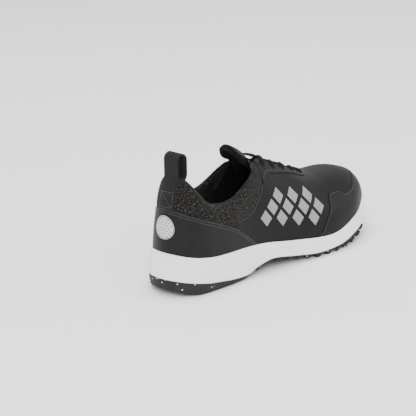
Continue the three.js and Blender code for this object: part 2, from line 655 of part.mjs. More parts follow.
// ---------------------------------------------------------------- lace
// One flat lace. A bar crosses the lowest row, then each half runs up the throat: in at an eyelet,
// under the eyestay, across to the other side and over that eyestay to the next eyelet. Both ends are
// tucked between the lining and the tongue. Each point is put at a station, a distance across from the
// ridge and a depth below the upper's surface.
const underEdge = -(skin + clearance + lining + laceThickness / 2 + clearance * 4.2);
const overEdge = clearance * 2.3 + eyestayThickness + laceThickness / 2;
function laceHalf(startSide) {
  const points = [];
  const put = (x, across, depth) =>
    points.push(surfaceAt(x, wide(ridgeOffset(x)) + across, depth));
  const eye = (x) => wide(throatHalf(x)) + eyeletInset;
  const throughEyelet = (x, side) => {
    put(x, side * (eye(x) - 3.3), overEdge + 0.1);
    put(x, side * (eye(x) - 1), overEdge);
    put(x, side * (eye(x) + 0.2), overEdge - 1.6);
    put(x, side * eye(x), -1);
    put(x, side * (eye(x) - 0.2), underEdge + 1.4);
  };
  let side = startSide;
  put(eyeletStations[0], side * 3, overEdge);
  throughEyelet(eyeletStations[0], side);
  eyeletStations.slice(0, -1).forEach((x, row) => {
    const next = eyeletStations[row + 1];
    const gap = wide(throatHalf(x));
    const nextGap = wide(throatHalf(next));
    put(x, side * (eye(x) - 1.6), underEdge);
    put(x - 1, side * (gap - 1), underEdge);
    put((x + next) / 2, 0, side > 0 ? -2.4 : 0.6);
    put(next + 3, -side * nextGap * 0.55, 1.4);
    put(next + 1.2, -side * (nextGap - 0.8), overEdge);
    side = -side;
    throughEyelet(next, side);
  });
  const top = eyeletStations[eyeletStations.length - 1];
  put(top, side * (eye(top) - 1.4), underEdge);
  put(top - 3, side * (eye(top) - 1.6), underEdge);
  put(top - 6, side * (eye(top) - 1.6), underEdge);
  return points;
}
function flatTube(points, width, thickness, sides = 8) {
  const rings = points.map((p, i) => {
    const [before, after] = [points[Math.max(i - 1, 0)], points[Math.min(i + 1, points.length - 1)]];
    const tangent = after.clone().sub(before).normalize();
    const acrossLace = new THREE.Vector3(1, 0, 0).addScaledVector(tangent, -tangent.x).normalize();
    const through = tangent.clone().cross(acrossLace);
    return Array.from({ length: sides }, (_, k) => {
      const angle = (2 * Math.PI * (k + 0.5)) / sides;
      return p.clone()
        .addScaledVector(acrossLace, (Math.cos(angle) * width) / 2)
        .addScaledVector(through, (Math.sin(angle) * thickness) / 2);
    });
  });
  return loft(rings, true);
}
add("lace", flatTube([...laceHalf(-1).reverse(), ...laceHalf(1)], laceWidth, laceThickness), laceCord);

// ---------------------------------------------------------------- pull tab
// Webbing sewn up the heel, looping over the collar and sewn again inside it.
const strapBox = (low, high) => sidePrism(
  [[behind, low], [st(50), low], [st(50), high], [behind, high]], -strapWidth / 2, strapWidth / 2);
const collarTop = collarLine(0);
const strapLow = heelCapTop(st(10)) + 2.5;
const stubTop = collarTop + 5;
add("pull_tab_outer_end", overlay(strapThickness).intersect(strapBox(strapLow, collarTop - 1)), webbing);
// Station of the back seam at a height, on the surface at a depth.
function seamStation(height, depth) {
  const seam = arches[0].slice(0, RIDGE).map((p, k) => p.clone().addScaledVector(normals[0][k], depth));
  let k = 0;
  while (k < seam.length - 2 && seam[k + 1].z < height) k++;
  const t = (height - seam[k].z) / (seam[k + 1].z - seam[k].z);
  return seam[k].x + (seam[k + 1].x - seam[k].x) * t;
}
const legOut = seamStation(collarTop, 0) - clearance - strapThickness;
const insideSeam = (z) => seamStation(z, liningInner(heelBack)) + heelBow;
const legIn = insideSeam(collarTop) + strapThickness;
const innerEnd = span(collarTop - 16, collarTop, 4);
add("pull_tab_inner_end", sidePrism([
  ...innerEnd.map((z) => [insideSeam(z), z]),
  ...innerEnd.reverse().map((z) => [insideSeam(z) + strapThickness, z])],
  -strapWidth / 2, strapWidth / 2), webbing);
const loopRadius = (legIn - legOut) / 2;
const loopCentre = (legIn + legOut) / 2;
const stub = (from, to) => sidePrism([[from, collarTop + clearance], [to, collarTop + clearance],
  [to, stubTop - clearance], [from, stubTop - clearance]], -strapWidth / 2, strapWidth / 2);
add("pull_tab_outer_stub", stub(legOut, legOut + strapThickness), webbing);
add("pull_tab_inner_stub", stub(legIn - strapThickness, legIn), webbing);
const loopShape = new THREE.Shape()
  .moveTo(legOut, stubTop)
  .absarc(loopCentre, loopHeight - loopRadius, loopRadius, Math.PI, 0, true)
  .lineTo(legIn, stubTop)
  .lineTo(legIn - strapThickness, stubTop)
  .absarc(loopCentre, loopHeight - loopRadius, loopRadius - strapThickness, 0, Math.PI, false)
  .lineTo(legOut + strapThickness, stubTop);
const loop = new THREE.ExtrudeGeometry(loopShape,
  { depth: strapWidth, bevelEnabled: false, curveSegments: 8 });
add("pull_tab_loop", solidFrom(loop.rotateX(Math.PI / 2).translate(0, strapWidth / 2, 0)), webbing);

// ---------------------------------------------------------------- origin
const box = new THREE.Box3().setFromObject(shoe);
shoe.position.set(-(box.min.x + box.max.x) / 2, -(box.min.y + box.max.y) / 2, -box.min.z);

export default shoe;
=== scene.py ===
# %% [markdown]
# # A golf shoe, laid up in layers
# The real shoe is lasted: a white foam midsole on a black rubber outsole, and over it an upper of
# coated leather, knitted mesh, foam and lining. The imported frame already says where each solid is.
# This script makes the surfaces that are looked at, each a function of two parameters worked out
# with numpy, in the same place as the solid that it stands for.

# %% Load the frame and bake its parts in place
import math

import bmesh
import bpy
import numpy as np
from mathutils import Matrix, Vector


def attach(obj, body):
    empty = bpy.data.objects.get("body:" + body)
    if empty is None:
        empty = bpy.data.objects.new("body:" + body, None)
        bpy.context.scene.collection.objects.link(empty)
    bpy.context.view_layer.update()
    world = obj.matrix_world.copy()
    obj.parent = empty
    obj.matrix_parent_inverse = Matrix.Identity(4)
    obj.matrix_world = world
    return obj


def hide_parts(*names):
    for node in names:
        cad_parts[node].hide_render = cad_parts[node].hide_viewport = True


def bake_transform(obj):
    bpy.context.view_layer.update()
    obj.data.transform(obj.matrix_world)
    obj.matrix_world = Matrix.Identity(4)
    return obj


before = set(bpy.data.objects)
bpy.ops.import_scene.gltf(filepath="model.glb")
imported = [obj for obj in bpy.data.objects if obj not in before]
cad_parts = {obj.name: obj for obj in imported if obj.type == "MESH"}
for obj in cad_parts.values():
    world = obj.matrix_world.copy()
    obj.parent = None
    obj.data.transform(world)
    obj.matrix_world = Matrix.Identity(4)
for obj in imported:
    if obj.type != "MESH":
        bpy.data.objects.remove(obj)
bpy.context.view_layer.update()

# %% [markdown]
# ## Measuring along the shoe
# A shoemaker measures along the shoe from the heel, so the work below is in millimetres with x as
# that station, y across and z up. One line at the end of each piece turns them into metres about
# the frame's origin. Heights and widths along the shoe are smooth curves through a few measured
# points. A monotone cubic is used because it never bulges past the points it is given.

# %% Curves through measured points
ORIGIN = np.array([148.1875, 1.5729, 0.0])  # where the frame's origin is, in station millimetres


def profile(points):
    """Curve through (station, value) points: cubic pieces whose slope at each point is the weighted
    harmonic mean of the chords beside it, or zero where they turn, so it never overshoots."""
    xs, ys = np.array(points, float).T
    run = np.diff(xs)
    slope = np.diff(ys) / run
    a, b = slope[:-1], slope[1:]
    same = a * b > 0
    wa, wb = 2 * run[1:] + run[:-1], run[1:] + 2 * run[:-1]
    inner = np.where(same, (wa + wb) / (wa / np.where(same, a, 1) + wb / np.where(same, b, 1)), 0)
    tangent = np.concatenate([slope[:1], inner, slope[-1:]])

    def value(x):
        at = np.clip(x, xs[0], xs[-1])
        i = np.clip(np.searchsorted(xs, at, side="right") - 1, 0, len(run) - 1)
        t = (at - xs[i]) / run[i]
        u = 1 - t
        return (ys[i] * (1 + 2 * t) * u * u + ys[i + 1] * (3 - 2 * t) * t * t
                + run[i] * (tangent[i] * t * u * u - tangent[i + 1] * t * t * u))

    return value


def ease(x, start, end):
    """Smooth step: 0 before start, 1 after end, with level ends."""
    t = np.clip((x - start) / (end - start), 0, 1)
    return t * t * (3 - 2 * t)


rim_height = profile([(0, 43.5), (25, 37), (50, 34), (80, 33), (110, 31), (150, 25), (200, 20),
                      (240, 29), (275, 42), (300, 51)])
midsole_bottom = profile([(0, 18), (40, 9), (85, 4.4), (100, 9), (120, 13), (150, 8.8), (185, 5),
                          (215, 7), (240, 13), (270, 19.5), (300, 27)])
ground_line = profile([(0, 8), (15, 2), (26, 0), (82, 0), (97, 4), (115, 10), (150, 6), (185, 0),
                       (212, 0), (225, 0.7), (250, 4.5), (275, 10), (300, 18)])
bed_height = profile([(0, 32), (50, 26.5), (80, 25), (110, 22.5), (150, 17.5), (200, 13.5),
                      (240, 18), (275, 26), (300, 33)])
ridge_height = profile([(40, 138.5), (70, 138), (100, 127), (120, 116.5), (150, 100), (175, 89.5),
                        (200, 78), (225, 71.5), (250, 69.5)])
ridge_offset = profile([(40, 0), (120, 2), (200, 5), (250, 5)])
side_power = profile([(40, 2.44), (120, 2.15), (200, 2.06), (250, 2.41)])
rise_power = profile([(40, 1.57), (120, 1.85), (200, 2.1), (250, 2.38)])
print("rim height at heel, ball and toe:", *np.round(rim_height(np.array([5, 200, 290])), 1))

# %% [markdown]
# ## The bite line
# Seen from above, the line where the upper meets the sole is the plan of the whole shoe. It is a
# closed curve through 23 points. Its columns are numbered 0 at the back of the heel, 1 at the tip
# of the toe along the outer side, and 2 back at the heel along the inner side.

# %% The bite line as a function of the column number
BITE_POINTS = np.array([
    (5, 0), (12, -18.7), (30, -29), (60, -32.5), (100, -33.5), (145, -39.5), (185, -46.8),
    (215, -49.3), (245, -45.3), (264, -37), (278, -27), (289, -12), (294, 7), (289, 26), (275, 40),
    (248, 50), (215, 52.5), (185, 48.5), (145, 37.5), (100, 32), (60, 34), (30, 31), (12, 19.8)])
TOE_POINT = 12
FINE = 400


def closed_curve(points):
    """Centripetal Catmull-Rom: each piece is a cubic whose end slopes weigh the neighbouring chords
    by the square roots of their lengths, so close points don't make loops."""
    p0, p1, p2, p3 = (np.roll(points, n, axis=0) for n in (1, 0, -1, -2))
    d0, d1, d2 = (np.linalg.norm(b - a, axis=1, keepdims=True) ** 0.5
                  for a, b in ((p0, p1), (p1, p2), (p2, p3)))
    m1 = ((p1 - p0) / d0 - (p2 - p0) / (d0 + d1) + (p2 - p1) / d1) * d1
    m2 = ((p2 - p1) / d1 - (p3 - p1) / (d1 + d2) + (p3 - p2) / d2) * d1
    t = np.linspace(0, 1, FINE, endpoint=False)[None, :, None]
    a, b, c, d = p1[:, None], m1[:, None], p2[:, None], m2[:, None]
    at = ((2 * t**3 - 3 * t**2 + 1) * a + (t**3 - 2 * t**2 + t) * b
          + (3 * t**2 - 2 * t**3) * c + (t**3 - t**2) * d)
    whole = at.reshape(-1, 2)
    return np.vstack([whole, whole[:1]])


bite = closed_curve(BITE_POINTS)
bite_steps = np.concatenate([[0], np.cumsum(np.linalg.norm(np.diff(bite, axis=0), axis=1))])
toe_row = TOE_POINT * FINE
outer_length, whole_length = bite_steps[toe_row], bite_steps[-1]
bite_column = np.where(np.arange(len(bite)) <= toe_row, bite_steps / outer_length,
                       1 + (bite_steps - outer_length) / (whole_length - outer_length))


def outline(c):
    """Station and width of the bite line at column c, counted round and round."""
    turn = np.mod(c, 2)
    return np.interp(turn, bite_column, bite[:, 0]), np.interp(turn, bite_column, bite[:, 1])


def column(side, station):
    """Column number at a station: side -1 is the outer side, side 1 the inner side."""
    if side < 0:
        return np.interp(station, np.maximum.accumulate(bite[:toe_row + 1, 0]),
                         bite_column[:toe_row + 1])
    back = np.maximum.accumulate(bite[toe_row:, 0][::-1])
    return np.interp(station, back, bite_column[toe_row:][::-1])


print("bite line:", round(whole_length), "mm round, toe tip at station", round(outline(1.0)[0], 1))

# %% [markdown]
# ## The surface of the upper
# Every leather, mesh and lining piece is a patch of one surface, the outside of the foot shape.
# From each column of the bite line a curve climbs to the ridge over the instep. Its section is a
# superellipse, fuller than a circle over the toes and flatter at the ankle. At heel and toe the
# ridge line ends, so the curves fan out from its end points, which rounds both ends.

# %% Points and normals of the upper
CUP = 5.0
RIDGE = (40.0, 250.0)
SOFTNESS = 7.0


def ridge_station(x):
    """The station clamped softly between the two ends of the ridge."""
    low = np.logaddexp(0, (x - RIDGE[0]) / SOFTNESS) * SOFTNESS + RIDGE[0]
    return RIDGE[1] - np.logaddexp(0, (RIDGE[1] - low) / SOFTNESS) * SOFTNESS


def upper(c, rise):
    """Point of the outside of the upper at column c. The rise goes from 0 at the bite line to 1 on
    the ridge: inwards as one less a power of its cosine, upwards as a power of its sine."""
    x, y = outline(c)
    qx = ridge_station(x)
    qy = ridge_offset(qx)
    angle = rise * np.pi / 2
    inward = 1 - np.maximum(np.cos(angle), 0) ** (2 / side_power(qx))
    up = np.maximum(np.sin(angle), 0) ** (2 / rise_power(qx))
    low = rim_height(x) - CUP
    return np.stack(np.broadcast_arrays(
        x + (qx - x) * inward, y + (qy - y) * inward, low + (ridge_height(qx) - low) * up), -1)


def upper_normal(c, rise):
    """Outward unit normal: the cross product of the steps along the shoe and up it."""
    r = np.clip(rise, 0.03, 0.985)
    along = upper(c + 0.002, r) - upper(c - 0.002, r)
    across = upper(c, r + 0.01) - upper(c, r - 0.01)
    n = np.cross(along, across)
    return n / np.linalg.norm(n, axis=-1, keepdims=True)


def rise_where(c, test, start=0.0):
    """Rise at which a test of the point turns positive, found by halving the range 36 times."""
    low, high = np.full(np.shape(c), start), np.ones(np.shape(c))
    for _ in range(36):
        middle = (low + high) / 2
        over = test(upper(c, middle)) > 0
        low, high = np.where(over, low, middle), np.where(over, middle, high)
    return (low + high) / 2


print("instep height at station 150:", round(float(upper(column(-1, 150.0), 1.0)[2]), 1), "mm")

# %% [markdown]
# ## Seams and openings
# The panels of the upper meet along lines that are easiest to draw from the side, as a height for
# each station, and along the throat, which is drawn from above as a half width. Each line becomes
# a test that is positive beyond it, and the step before finds where each column crosses it.

# %% Lines between the panels
collar_line = profile([(-5, 117), (14, 117), (22, 112), (31, 101), (40, 89.5), (50, 84.5), (63, 83),
                       (78, 85), (92, 91.5), (104, 98.5), (112, 103.5)])
throat_half = profile([(104, 18.5), (112, 17.8), (120, 15.5), (131, 11), (158, 8.5), (180, 7),
                       (196, 5.5), (202, 4), (206, 0)])
heel_cap_top = profile([(-5, 87), (5, 86.5), (18, 80.5), (31, 74.5), (56, 64), (75, 54.5), (91, 42.5),
                        (104, 30.5), (112, 20)])
guard_edge = profile([(160, 5), (176, 19), (186, 24), (198, 38), (206, 47), (209, 55), (215, 58.5),
                      (225, 58.5), (235, 54), (246, 55), (258, 58.5), (268, 61.5), (276, 63),
                      (330, 66)])
mesh_edge = profile([(60, 36), (70, 50), (80, 61), (90, 63), (98, 67), (107, 76), (115, 86),
                     (122, 95), (130, 108), (140, 150)])
COLLAR_FRONT, THROAT_START, THROAT_END, THROAT_FLOOR = 112.0, 100.0, 206.0, 55.0


def above(line, shift=0.0):
    """Test that is positive where a point lies above a side-view line."""
    return lambda p: p[..., 2] - line(p[..., 0]) - shift


def in_mouth(p, grow=0.0):
    """Positive inside the opening for the foot or the throat, widened by a margin."""
    x, y, z = p[..., 0], p[..., 1], p[..., 2]
    collar = np.where(x < COLLAR_FRONT, z - collar_line(x) + grow, -9)
    in_throat = (x > THROAT_START) & (x < THROAT_END) & (z > THROAT_FLOOR)
    throat = np.where(in_throat, throat_half(x) + grow - abs(y - ridge_offset(x)), -9)
    return np.maximum(collar, throat)


pad_fade = profile([(0, 0.4), (20, 0.45), (45, 1), (78, 1), (106, 0), (300, 0)])
puff_fade = profile([(0, 0), (236, 0), (248, 1), (300, 1)])


def lining_depth(x):
    """Depth of the lining's inner face below the outside: skin, foam or toe puff, and lining."""
    return 2.9 + 5.1 * pad_fade(x) + 1.3 * puff_fade(x)


# %% [markdown]
# ## From grids to meshes
# All pieces are grids of points, closed by joining the last row to the first or by tapering to
# nothing. These helpers number the faces of a grid, weld touching points and hand the arrays to
# Blender. Each piece may carry a map in millimetres for the weaves that follow the cloth.

# %% Helpers that make meshes


def faces_of(rows, cols, wrap_rows=False, wrap_cols=False, flip=False):
    """Quads of a grid of rows by cols points, numbered row by row."""
    i, j = np.meshgrid(np.arange(rows if wrap_rows else rows - 1),
                       np.arange(cols if wrap_cols else cols - 1), indexing="ij")
    i2, j2 = (i + 1) % rows, (j + 1) % cols
    quads = np.stack([i * cols + j, i * cols + j2, i2 * cols + j2, i2 * cols + j], -1)
    return quads.reshape(-1, 4)[:, ::-1 if flip else 1]


def make_piece(name, parts, finish, weld=1e-5, smooth=True):
    """One object from parts of (points in station mm, faces, map or None), welded together."""
    points, quads, maps, start = [], [], [], 0
    for p, f, uv in parts:
        flat = np.asarray(p).reshape(-1, 3)
        points.append((flat - ORIGIN) / 1000)
        quads.append(np.asarray(f) + start)
        maps.append(np.zeros((len(flat), 2)) if uv is None else np.asarray(uv).reshape(-1, 2))
        start += len(flat)
    points, maps = np.vstack(points), np.vstack(maps)
    faces = [row for q in quads for row in q.tolist()]
    mesh = bpy.data.meshes.new(name)
    mesh.from_pydata(points.tolist(), [], faces)
    layer = mesh.uv_layers.new(name="cloth")
    corner = np.zeros(len(mesh.loops), np.int32)
    mesh.loops.foreach_get("vertex_index", corner)
    layer.data.foreach_set("uv", maps[corner].astype(np.float32).ravel())
    if weld:
        bm = bmesh.new()
        bm.from_mesh(mesh)
        bmesh.ops.remove_doubles(bm, verts=bm.verts, dist=weld)
        bmesh.ops.dissolve_degenerate(bm, edges=bm.edges, dist=weld / 10)
        bm.to_mesh(mesh)
        bm.free()
    mesh.polygons.foreach_set("use_smooth", np.full(len(mesh.polygons), smooth))
    mesh.materials.append(finish)
    obj = bpy.data.objects.new(name, mesh)
    bpy.context.collection.objects.link(obj)
    print(f"{name}: {len(mesh.vertices)} points, {len(mesh.polygons)} faces")
    return obj


def edge_rows(length, count, lip):
    """Fractions of a length in mm, with six close rows in the lip at each end."""
    near = np.array([0, 0.05, 0.2, 0.45, 0.75, 1.0])[:, None] * np.minimum(lip, length / 2.2)
    low = near / length
    middle = np.linspace(0, 1, count + 2)[1:-1, None]
    span = low[-1] + (1 - 2 * low[-1]) * middle
    return np.vstack([low, span, 1 - low[::-1]])


def quarter_round(distance, lip):
    """Height of a rounded edge: 0 at the edge, 1 from the lip inwards, a quarter circle between."""
    return np.sqrt(np.clip(1 - (1 - np.clip(distance / lip, 0, 1)) ** 2, 0, 1))


def shell(name, c, low, high, outer, inner, finish, count=30, lip=0.8, top_lip=None, ends=True):
    """A closed panel on the upper between two rises at each column. Its outer face lies at one
    depth and its inner face at another, and both run together round the rounded edge."""
    top_lip = top_lip or lip
    length = np.linalg.norm(np.diff(upper(
        c, low + (high - low) * np.linspace(0, 1, 24)[:, None]), axis=0), axis=-1).sum(0)
    v = edge_rows(np.maximum(length, 0.2), count, np.maximum(lip, top_lip))
    rise = low + (high - low) * v
    base, normal = upper(c, rise), upper_normal(c, rise)
    walk = np.concatenate([[0], np.cumsum(np.linalg.norm(np.diff(base[0], axis=0), axis=-1))])
    round_off = quarter_round(v * length, lip) * quarter_round((1 - v) * length, top_lip)
    if ends:
        round_off = round_off * quarter_round(np.minimum(walk, walk[-1] - walk), lip)
    x = base[..., 0]
    out = outer(base, v) if callable(outer) else np.full(x.shape, outer)
    inn = inner(base, v) if callable(inner) else np.full(x.shape, inner)
    mid = (out + inn) / 2
    face = base + normal * (mid + (out - mid) * round_off)[..., None]
    back = base + normal * (mid + (inn - mid) * round_off)[..., None]
    ring = np.concatenate([face, back[-2:0:-1]])
    across = np.broadcast_to(walk, x.shape)
    up = v * length
    uv = np.stack([across, up], -1)
    uv = np.concatenate([uv, uv[-2:0:-1]])
    faces = faces_of(len(ring), len(c), wrap_rows=True)
    return make_piece(name, [(ring, faces, uv)], finish)


def pair_sheet(name, stations, low, high, depth, finish, count=30, lip=0.6, thickness=1.0,
               round_top=True, round_low=True):
    """A sheet over both sides of the shoe, welded where the sides meet on the ridge, at the heel
    and at the toe, and given its thickness inwards."""
    parts = []
    for side in (-1, 1):
        c = column(side, stations) % 2 if side > 0 else column(side, stations)
        start, end = low(c), high(c)
        length = np.linalg.norm(np.diff(upper(
            c, start + (end - start) * np.linspace(0, 1, 24)[:, None]), axis=0), axis=-1).sum(0)
        v = edge_rows(np.maximum(length, 0.2), count, lip)
        rise = start + (end - start) * v
        base = upper(c, rise)
        drop = quarter_round(v * length, lip) if round_low else 1
        free = end < 0.9995
        drop = drop * np.where(free & round_top, quarter_round((1 - v) * length, lip), 1)
        normal = upper_normal(c, rise)
        face = base + normal * (depth(base, v) - thickness * (1 - drop) * 0.8)[..., None]
        walk = np.concatenate([[0], np.cumsum(np.linalg.norm(np.diff(base[0], axis=0), axis=-1))])
        uv = np.stack([np.broadcast_to(walk, v.shape), v * length], -1)
        parts.append((face, faces_of(len(v), len(c), flip=side > 0), uv))
    obj = make_piece(name, parts, finish, weld=2e-5)
    wall = obj.modifiers.new("wall", "SOLIDIFY")
    wall.thickness = thickness / 1000
    wall.offset = -1
    return obj


# %% [markdown]
# ## Finishes
# Each finish is a small node tree: a colour that varies a little, a roughness that varies a little
# and a bump at the size of the real grain. Leather, foam and rubber read Object coordinates, which
# are metres, so a scale of 900 makes grains of about a millimetre. Woven and knitted cloth follows
# its own map, which is in millimetres.

# %% Helpers for node trees


def srgb(r, g, b):
    """Linear colour from three numbers between 0 and 255 as a colour picker gives them."""
    v = np.array([r, g, b]) / 255
    return (*np.where(v <= 0.04045, v / 12.92, ((v + 0.055) / 1.055) ** 2.4), 1.0)


class Finish:
    """A material with its shader, and one method that adds a node and joins its inputs."""

    def __init__(self, name, **sockets):
        self.material = bpy.data.materials.new(name)
        self.material.use_nodes = True
        self.tree = self.material.node_tree
        self.shader = self.tree.nodes["Principled BSDF"]
        for key, value in sockets.items():
            self.shader.inputs[key.replace("_", " ")].default_value = value
        self.place = self.tree.nodes.new("ShaderNodeTexCoord")
        self.material.diffuse_color = (0.2, 0.2, 0.2, 1)

    def add(self, kind, inputs=(), out=0, **settings):
        node = self.tree.nodes.new("ShaderNode" + kind)
        for key, value in settings.items():
            setattr(node, key, value)
        for key, value in dict(inputs).items():
            if isinstance(value, bpy.types.NodeSocket):
                self.tree.links.new(value, node.inputs[key])
            else:
                node.inputs[key].default_value = value
        return node.outputs[out]

    def noise(self, scale, detail=3.0, where=None, rough=0.55):
        return self.add("TexNoise", {"Vector": where or self.place.outputs["Object"],
                                     "Scale": scale, "Detail": detail, "Roughness": rough})

    def cells(self, scale, feature="F1", where=None, out=0, jitter=1.0):
        inputs = {"Vector": where or self.place.outputs["Object"], "Scale": scale,
                  "Randomness": jitter}
        return self.add("TexVoronoi", inputs, out, feature=feature)

    def math(self, operation, a, b=0.0, clamp=False):
        return self.add("Math", {0: a, 1: b}, operation=operation, use_clamp=clamp)

    def ramp(self, value, stops):
        node = self.tree.nodes.new("ShaderNodeValToRGB")
        self.tree.links.new(value, node.inputs[0])
        for n, (at, colour) in enumerate(stops):
            stop = node.color_ramp.elements[n] if n < 2 else node.color_ramp.elements.new(at)
            stop.position = at
            stop.color = colour
        return node.outputs[0]

    def span(self, value, low, high):
        return self.add("MapRange", {"Value": value, "To Min": low, "To Max": high})

    def paint(self, colour=None, rough=None, height=None, strength=0.3, distance=0.0003):
        if colour is not None:
            self.tree.links.new(colour, self.shader.inputs["Base Color"])
        if rough is not None:
            self.tree.links.new(rough, self.shader.inputs["Roughness"])
        if height is not None:
            bump = self.add("Bump", {"Height": height, "Strength": strength, "Distance": distance})
            self.tree.links.new(bump, self.shader.inputs["Normal"])
        return self.material


# %% [markdown]
# ### Coated leather
# The heel cap, the quarters and the toe guard are polyurethane-coated leather. Up close it is a
# field of shallow pebbles with creases between them, which a Voronoi distance gives, on top of a
# slow change in tone.

# %% Coated leather, in a matt and a smoother kind


def coated_leather(name, dark, light, rough, grain, depth):
    """Pebbled coat: the grain is the number of pebbles in a metre."""
    f = Finish(name, Specular_IOR_Level=0.17, Coat_Weight=0.01, Coat_Roughness=0.35)
    tone = f.noise(38.0, 4.0)
    pebble = f.cells(grain)
    fine = f.noise(grain * 2.4, 2.0)
    mixed = f.math("ADD", f.math("MULTIPLY", tone, 0.8), f.math("MULTIPLY", fine, 0.2))
    colour = f.ramp(mixed, [(0.3, dark), (0.72, light)])
    height = f.math("SUBTRACT", f.math("MULTIPLY", fine, 0.35), pebble)
    return f.paint(colour, f.span(tone, rough - 0.05, rough + 0.07), height, depth, 0.00016)


leather = coated_leather("quarter_leather", srgb(6, 6, 7), srgb(14, 15, 15), 0.52, 1150.0, 0.5)
smooth_leather = coated_leather("cap_leather", srgb(13, 12, 13), srgb(23, 21, 23), 0.44, 900.0, 0.35)
guard_leather = coated_leather("guard_leather", srgb(6, 5, 6), srgb(14, 13, 14), 0.46, 900.0, 0.35)

# %% [markdown]
# ### Knitted mesh and cloth
# The collar is a spacer knit: rows of small loops, dark with lighter heather yarn that shows as
# specks. Nearly regular cells in the cloth's own map make the loops, and a fine noise picks the
# light yarn. The lining is the same knit, darker and closer. Webbing and lace are woven: ribs along
# them, crossed by a wave.

# %% Knit, webbing, lace weave and thread


def knit(name, dark, light, speck, gauge, depth, rough=0.9):
    """Knit whose gauge is the number of loops in a millimetre of its map."""
    f = Finish(name, Sheen_Weight=0.04, Sheen_Roughness=0.4, Specular_IOR_Level=0.15)
    cloth = f.place.outputs["UV"]
    stretched = f.add("Mapping", {"Vector": cloth, "Scale": (1.0, 1.5, 1.0)})
    loops = f.cells(gauge, where=stretched, jitter=0.45)
    yarn = f.noise(gauge * 0.9, 2.0, where=stretched)
    heather = f.ramp(f.noise(gauge * 0.55, 4.0, where=stretched, rough=0.75),
                     [(0.0, dark), (0.52, light), (0.66, speck)])
    # painted shade: each loop's colour darkens towards its edge, in the hollows between the loops
    shade = f.ramp(loops, [(0.0, (1, 1, 1, 1)), (0.62, (0.35, 0.35, 0.35, 1))])
    colour = f.add("Mix", {0: 1.0, 6: heather, 7: shade}, 2, data_type="RGBA",
                   blend_type="MULTIPLY")
    height = f.math("SUBTRACT", f.math("MULTIPLY", yarn, 0.4), loops)
    return f.paint(colour, f.span(yarn, rough - 0.08, rough), height, depth, 0.0006)


def woven(name, dark, light, across, along, depth, slant=0.0):
    """Ribs along the strip and picks across it, both counted in a millimetre of its map."""
    f = Finish(name, Sheen_Weight=0.04, Sheen_Roughness=0.4, Roughness=0.88, Specular_IOR_Level=0.18)
    cloth = f.add("SeparateXYZ", {0: f.place.outputs["UV"]})
    u = cloth.node.outputs[0]
    v = cloth.node.outputs[1]
    wale = f.math("ABSOLUTE", f.math("SUBTRACT", f.math("FRACT", f.math("MULTIPLY", u, across)), 0.5))
    lean = f.math("MULTIPLY", wale, slant)
    pick = f.math("SINE", f.math("MULTIPLY", f.math("ADD", f.math("MULTIPLY", v, along), lean), 6.283))
    fuzz = f.noise(9.0, 3.0, where=f.place.outputs["UV"])
    height = f.math("ADD", f.math("ADD", f.math("MULTIPLY", pick, 0.35), wale),
                    f.math("MULTIPLY", fuzz, 0.4))
    # painted shade and painted light: the colour follows the weave's height, dark in its hollows and light on
    # its ribs
    colour = f.ramp(f.span(height, 0.0, 1.0), [(0.1, dark), (0.95, light)])
    return f.paint(colour, None, height, depth, 0.0003)


collar_knit = knit("collar_knit", srgb(10, 10, 9), srgb(26, 25, 23), srgb(104, 102, 97), 0.8, 0.8)
lining_knit = knit("lining_knit", srgb(5, 5, 5), srgb(10, 10, 9), srgb(20, 20, 19), 1.4, 0.5)
webbing = woven("tab_webbing", srgb(14, 14, 14), srgb(40, 40, 40), 0.42, 0.75, 0.7, 1.2)
lace_weave = woven("lace_weave", srgb(7, 7, 7), srgb(24, 24, 24), 0.9, 0.9, 0.7, 0.8)
thread = Finish("thread", Roughness=0.7, Sheen_Weight=0.2)
thread_material = thread.paint(thread.ramp(thread.noise(2500.0), [(0.3, srgb(24, 24, 25)),
                                                                  (0.7, srgb(62, 62, 64))]))

# %% [markdown]
# ### Foam, rubber and film
# The midsole is moulded foam, white with the faintest pebble from its mould and a shaded dot screen
# printed along the arch on the inner side: dots whose size follows a slow gradient. The rubber has
# ground white flecks in it: the middles of a few cells, picked by each cell's own random colour.

# %% Midsole foam, rubber and films
foam_white = Finish("midsole_foam", Specular_IOR_Level=0.4)
grain = foam_white.noise(700.0, 3.0)
tone = foam_white.noise(25.0, 3.0)
shell_white = foam_white.ramp(tone, [(0.3, srgb(233, 233, 237)), (0.7, srgb(244, 244, 247))])
where = foam_white.add("SeparateXYZ", {0: foam_white.place.outputs["Object"]})
along, across = where.node.outputs[0], where.node.outputs[1]
arch_rise = foam_white.add("MapRange", {"Value": along, "From Min": -0.105, "From Max": -0.035},
                           interpolation_type="SMOOTHSTEP")
arch_fall = foam_white.add("MapRange", {"Value": along, "From Min": -0.035, "From Max": 0.02,
                                        "To Min": 1.0, "To Max": 0.0},
                           interpolation_type="SMOOTHSTEP")
inner_side = foam_white.add("MapRange", {"Value": across, "From Min": 0.02, "From Max": 0.03})
screen = foam_white.math("MULTIPLY", foam_white.math("MULTIPLY", arch_rise, arch_fall), inner_side)
dot = foam_white.cells(620.0, jitter=0.0)
printed = foam_white.math("LESS_THAN", dot, foam_white.math("MULTIPLY", screen, 0.62))
white_and_dots = foam_white.add("Mix", {0: printed, 6: shell_white, 7: srgb(52, 52, 55)}, 2,
                                data_type="RGBA")
foam_material = foam_white.paint(white_and_dots, foam_white.span(tone, 0.46, 0.58), grain, 0.12,
                                 0.0002)

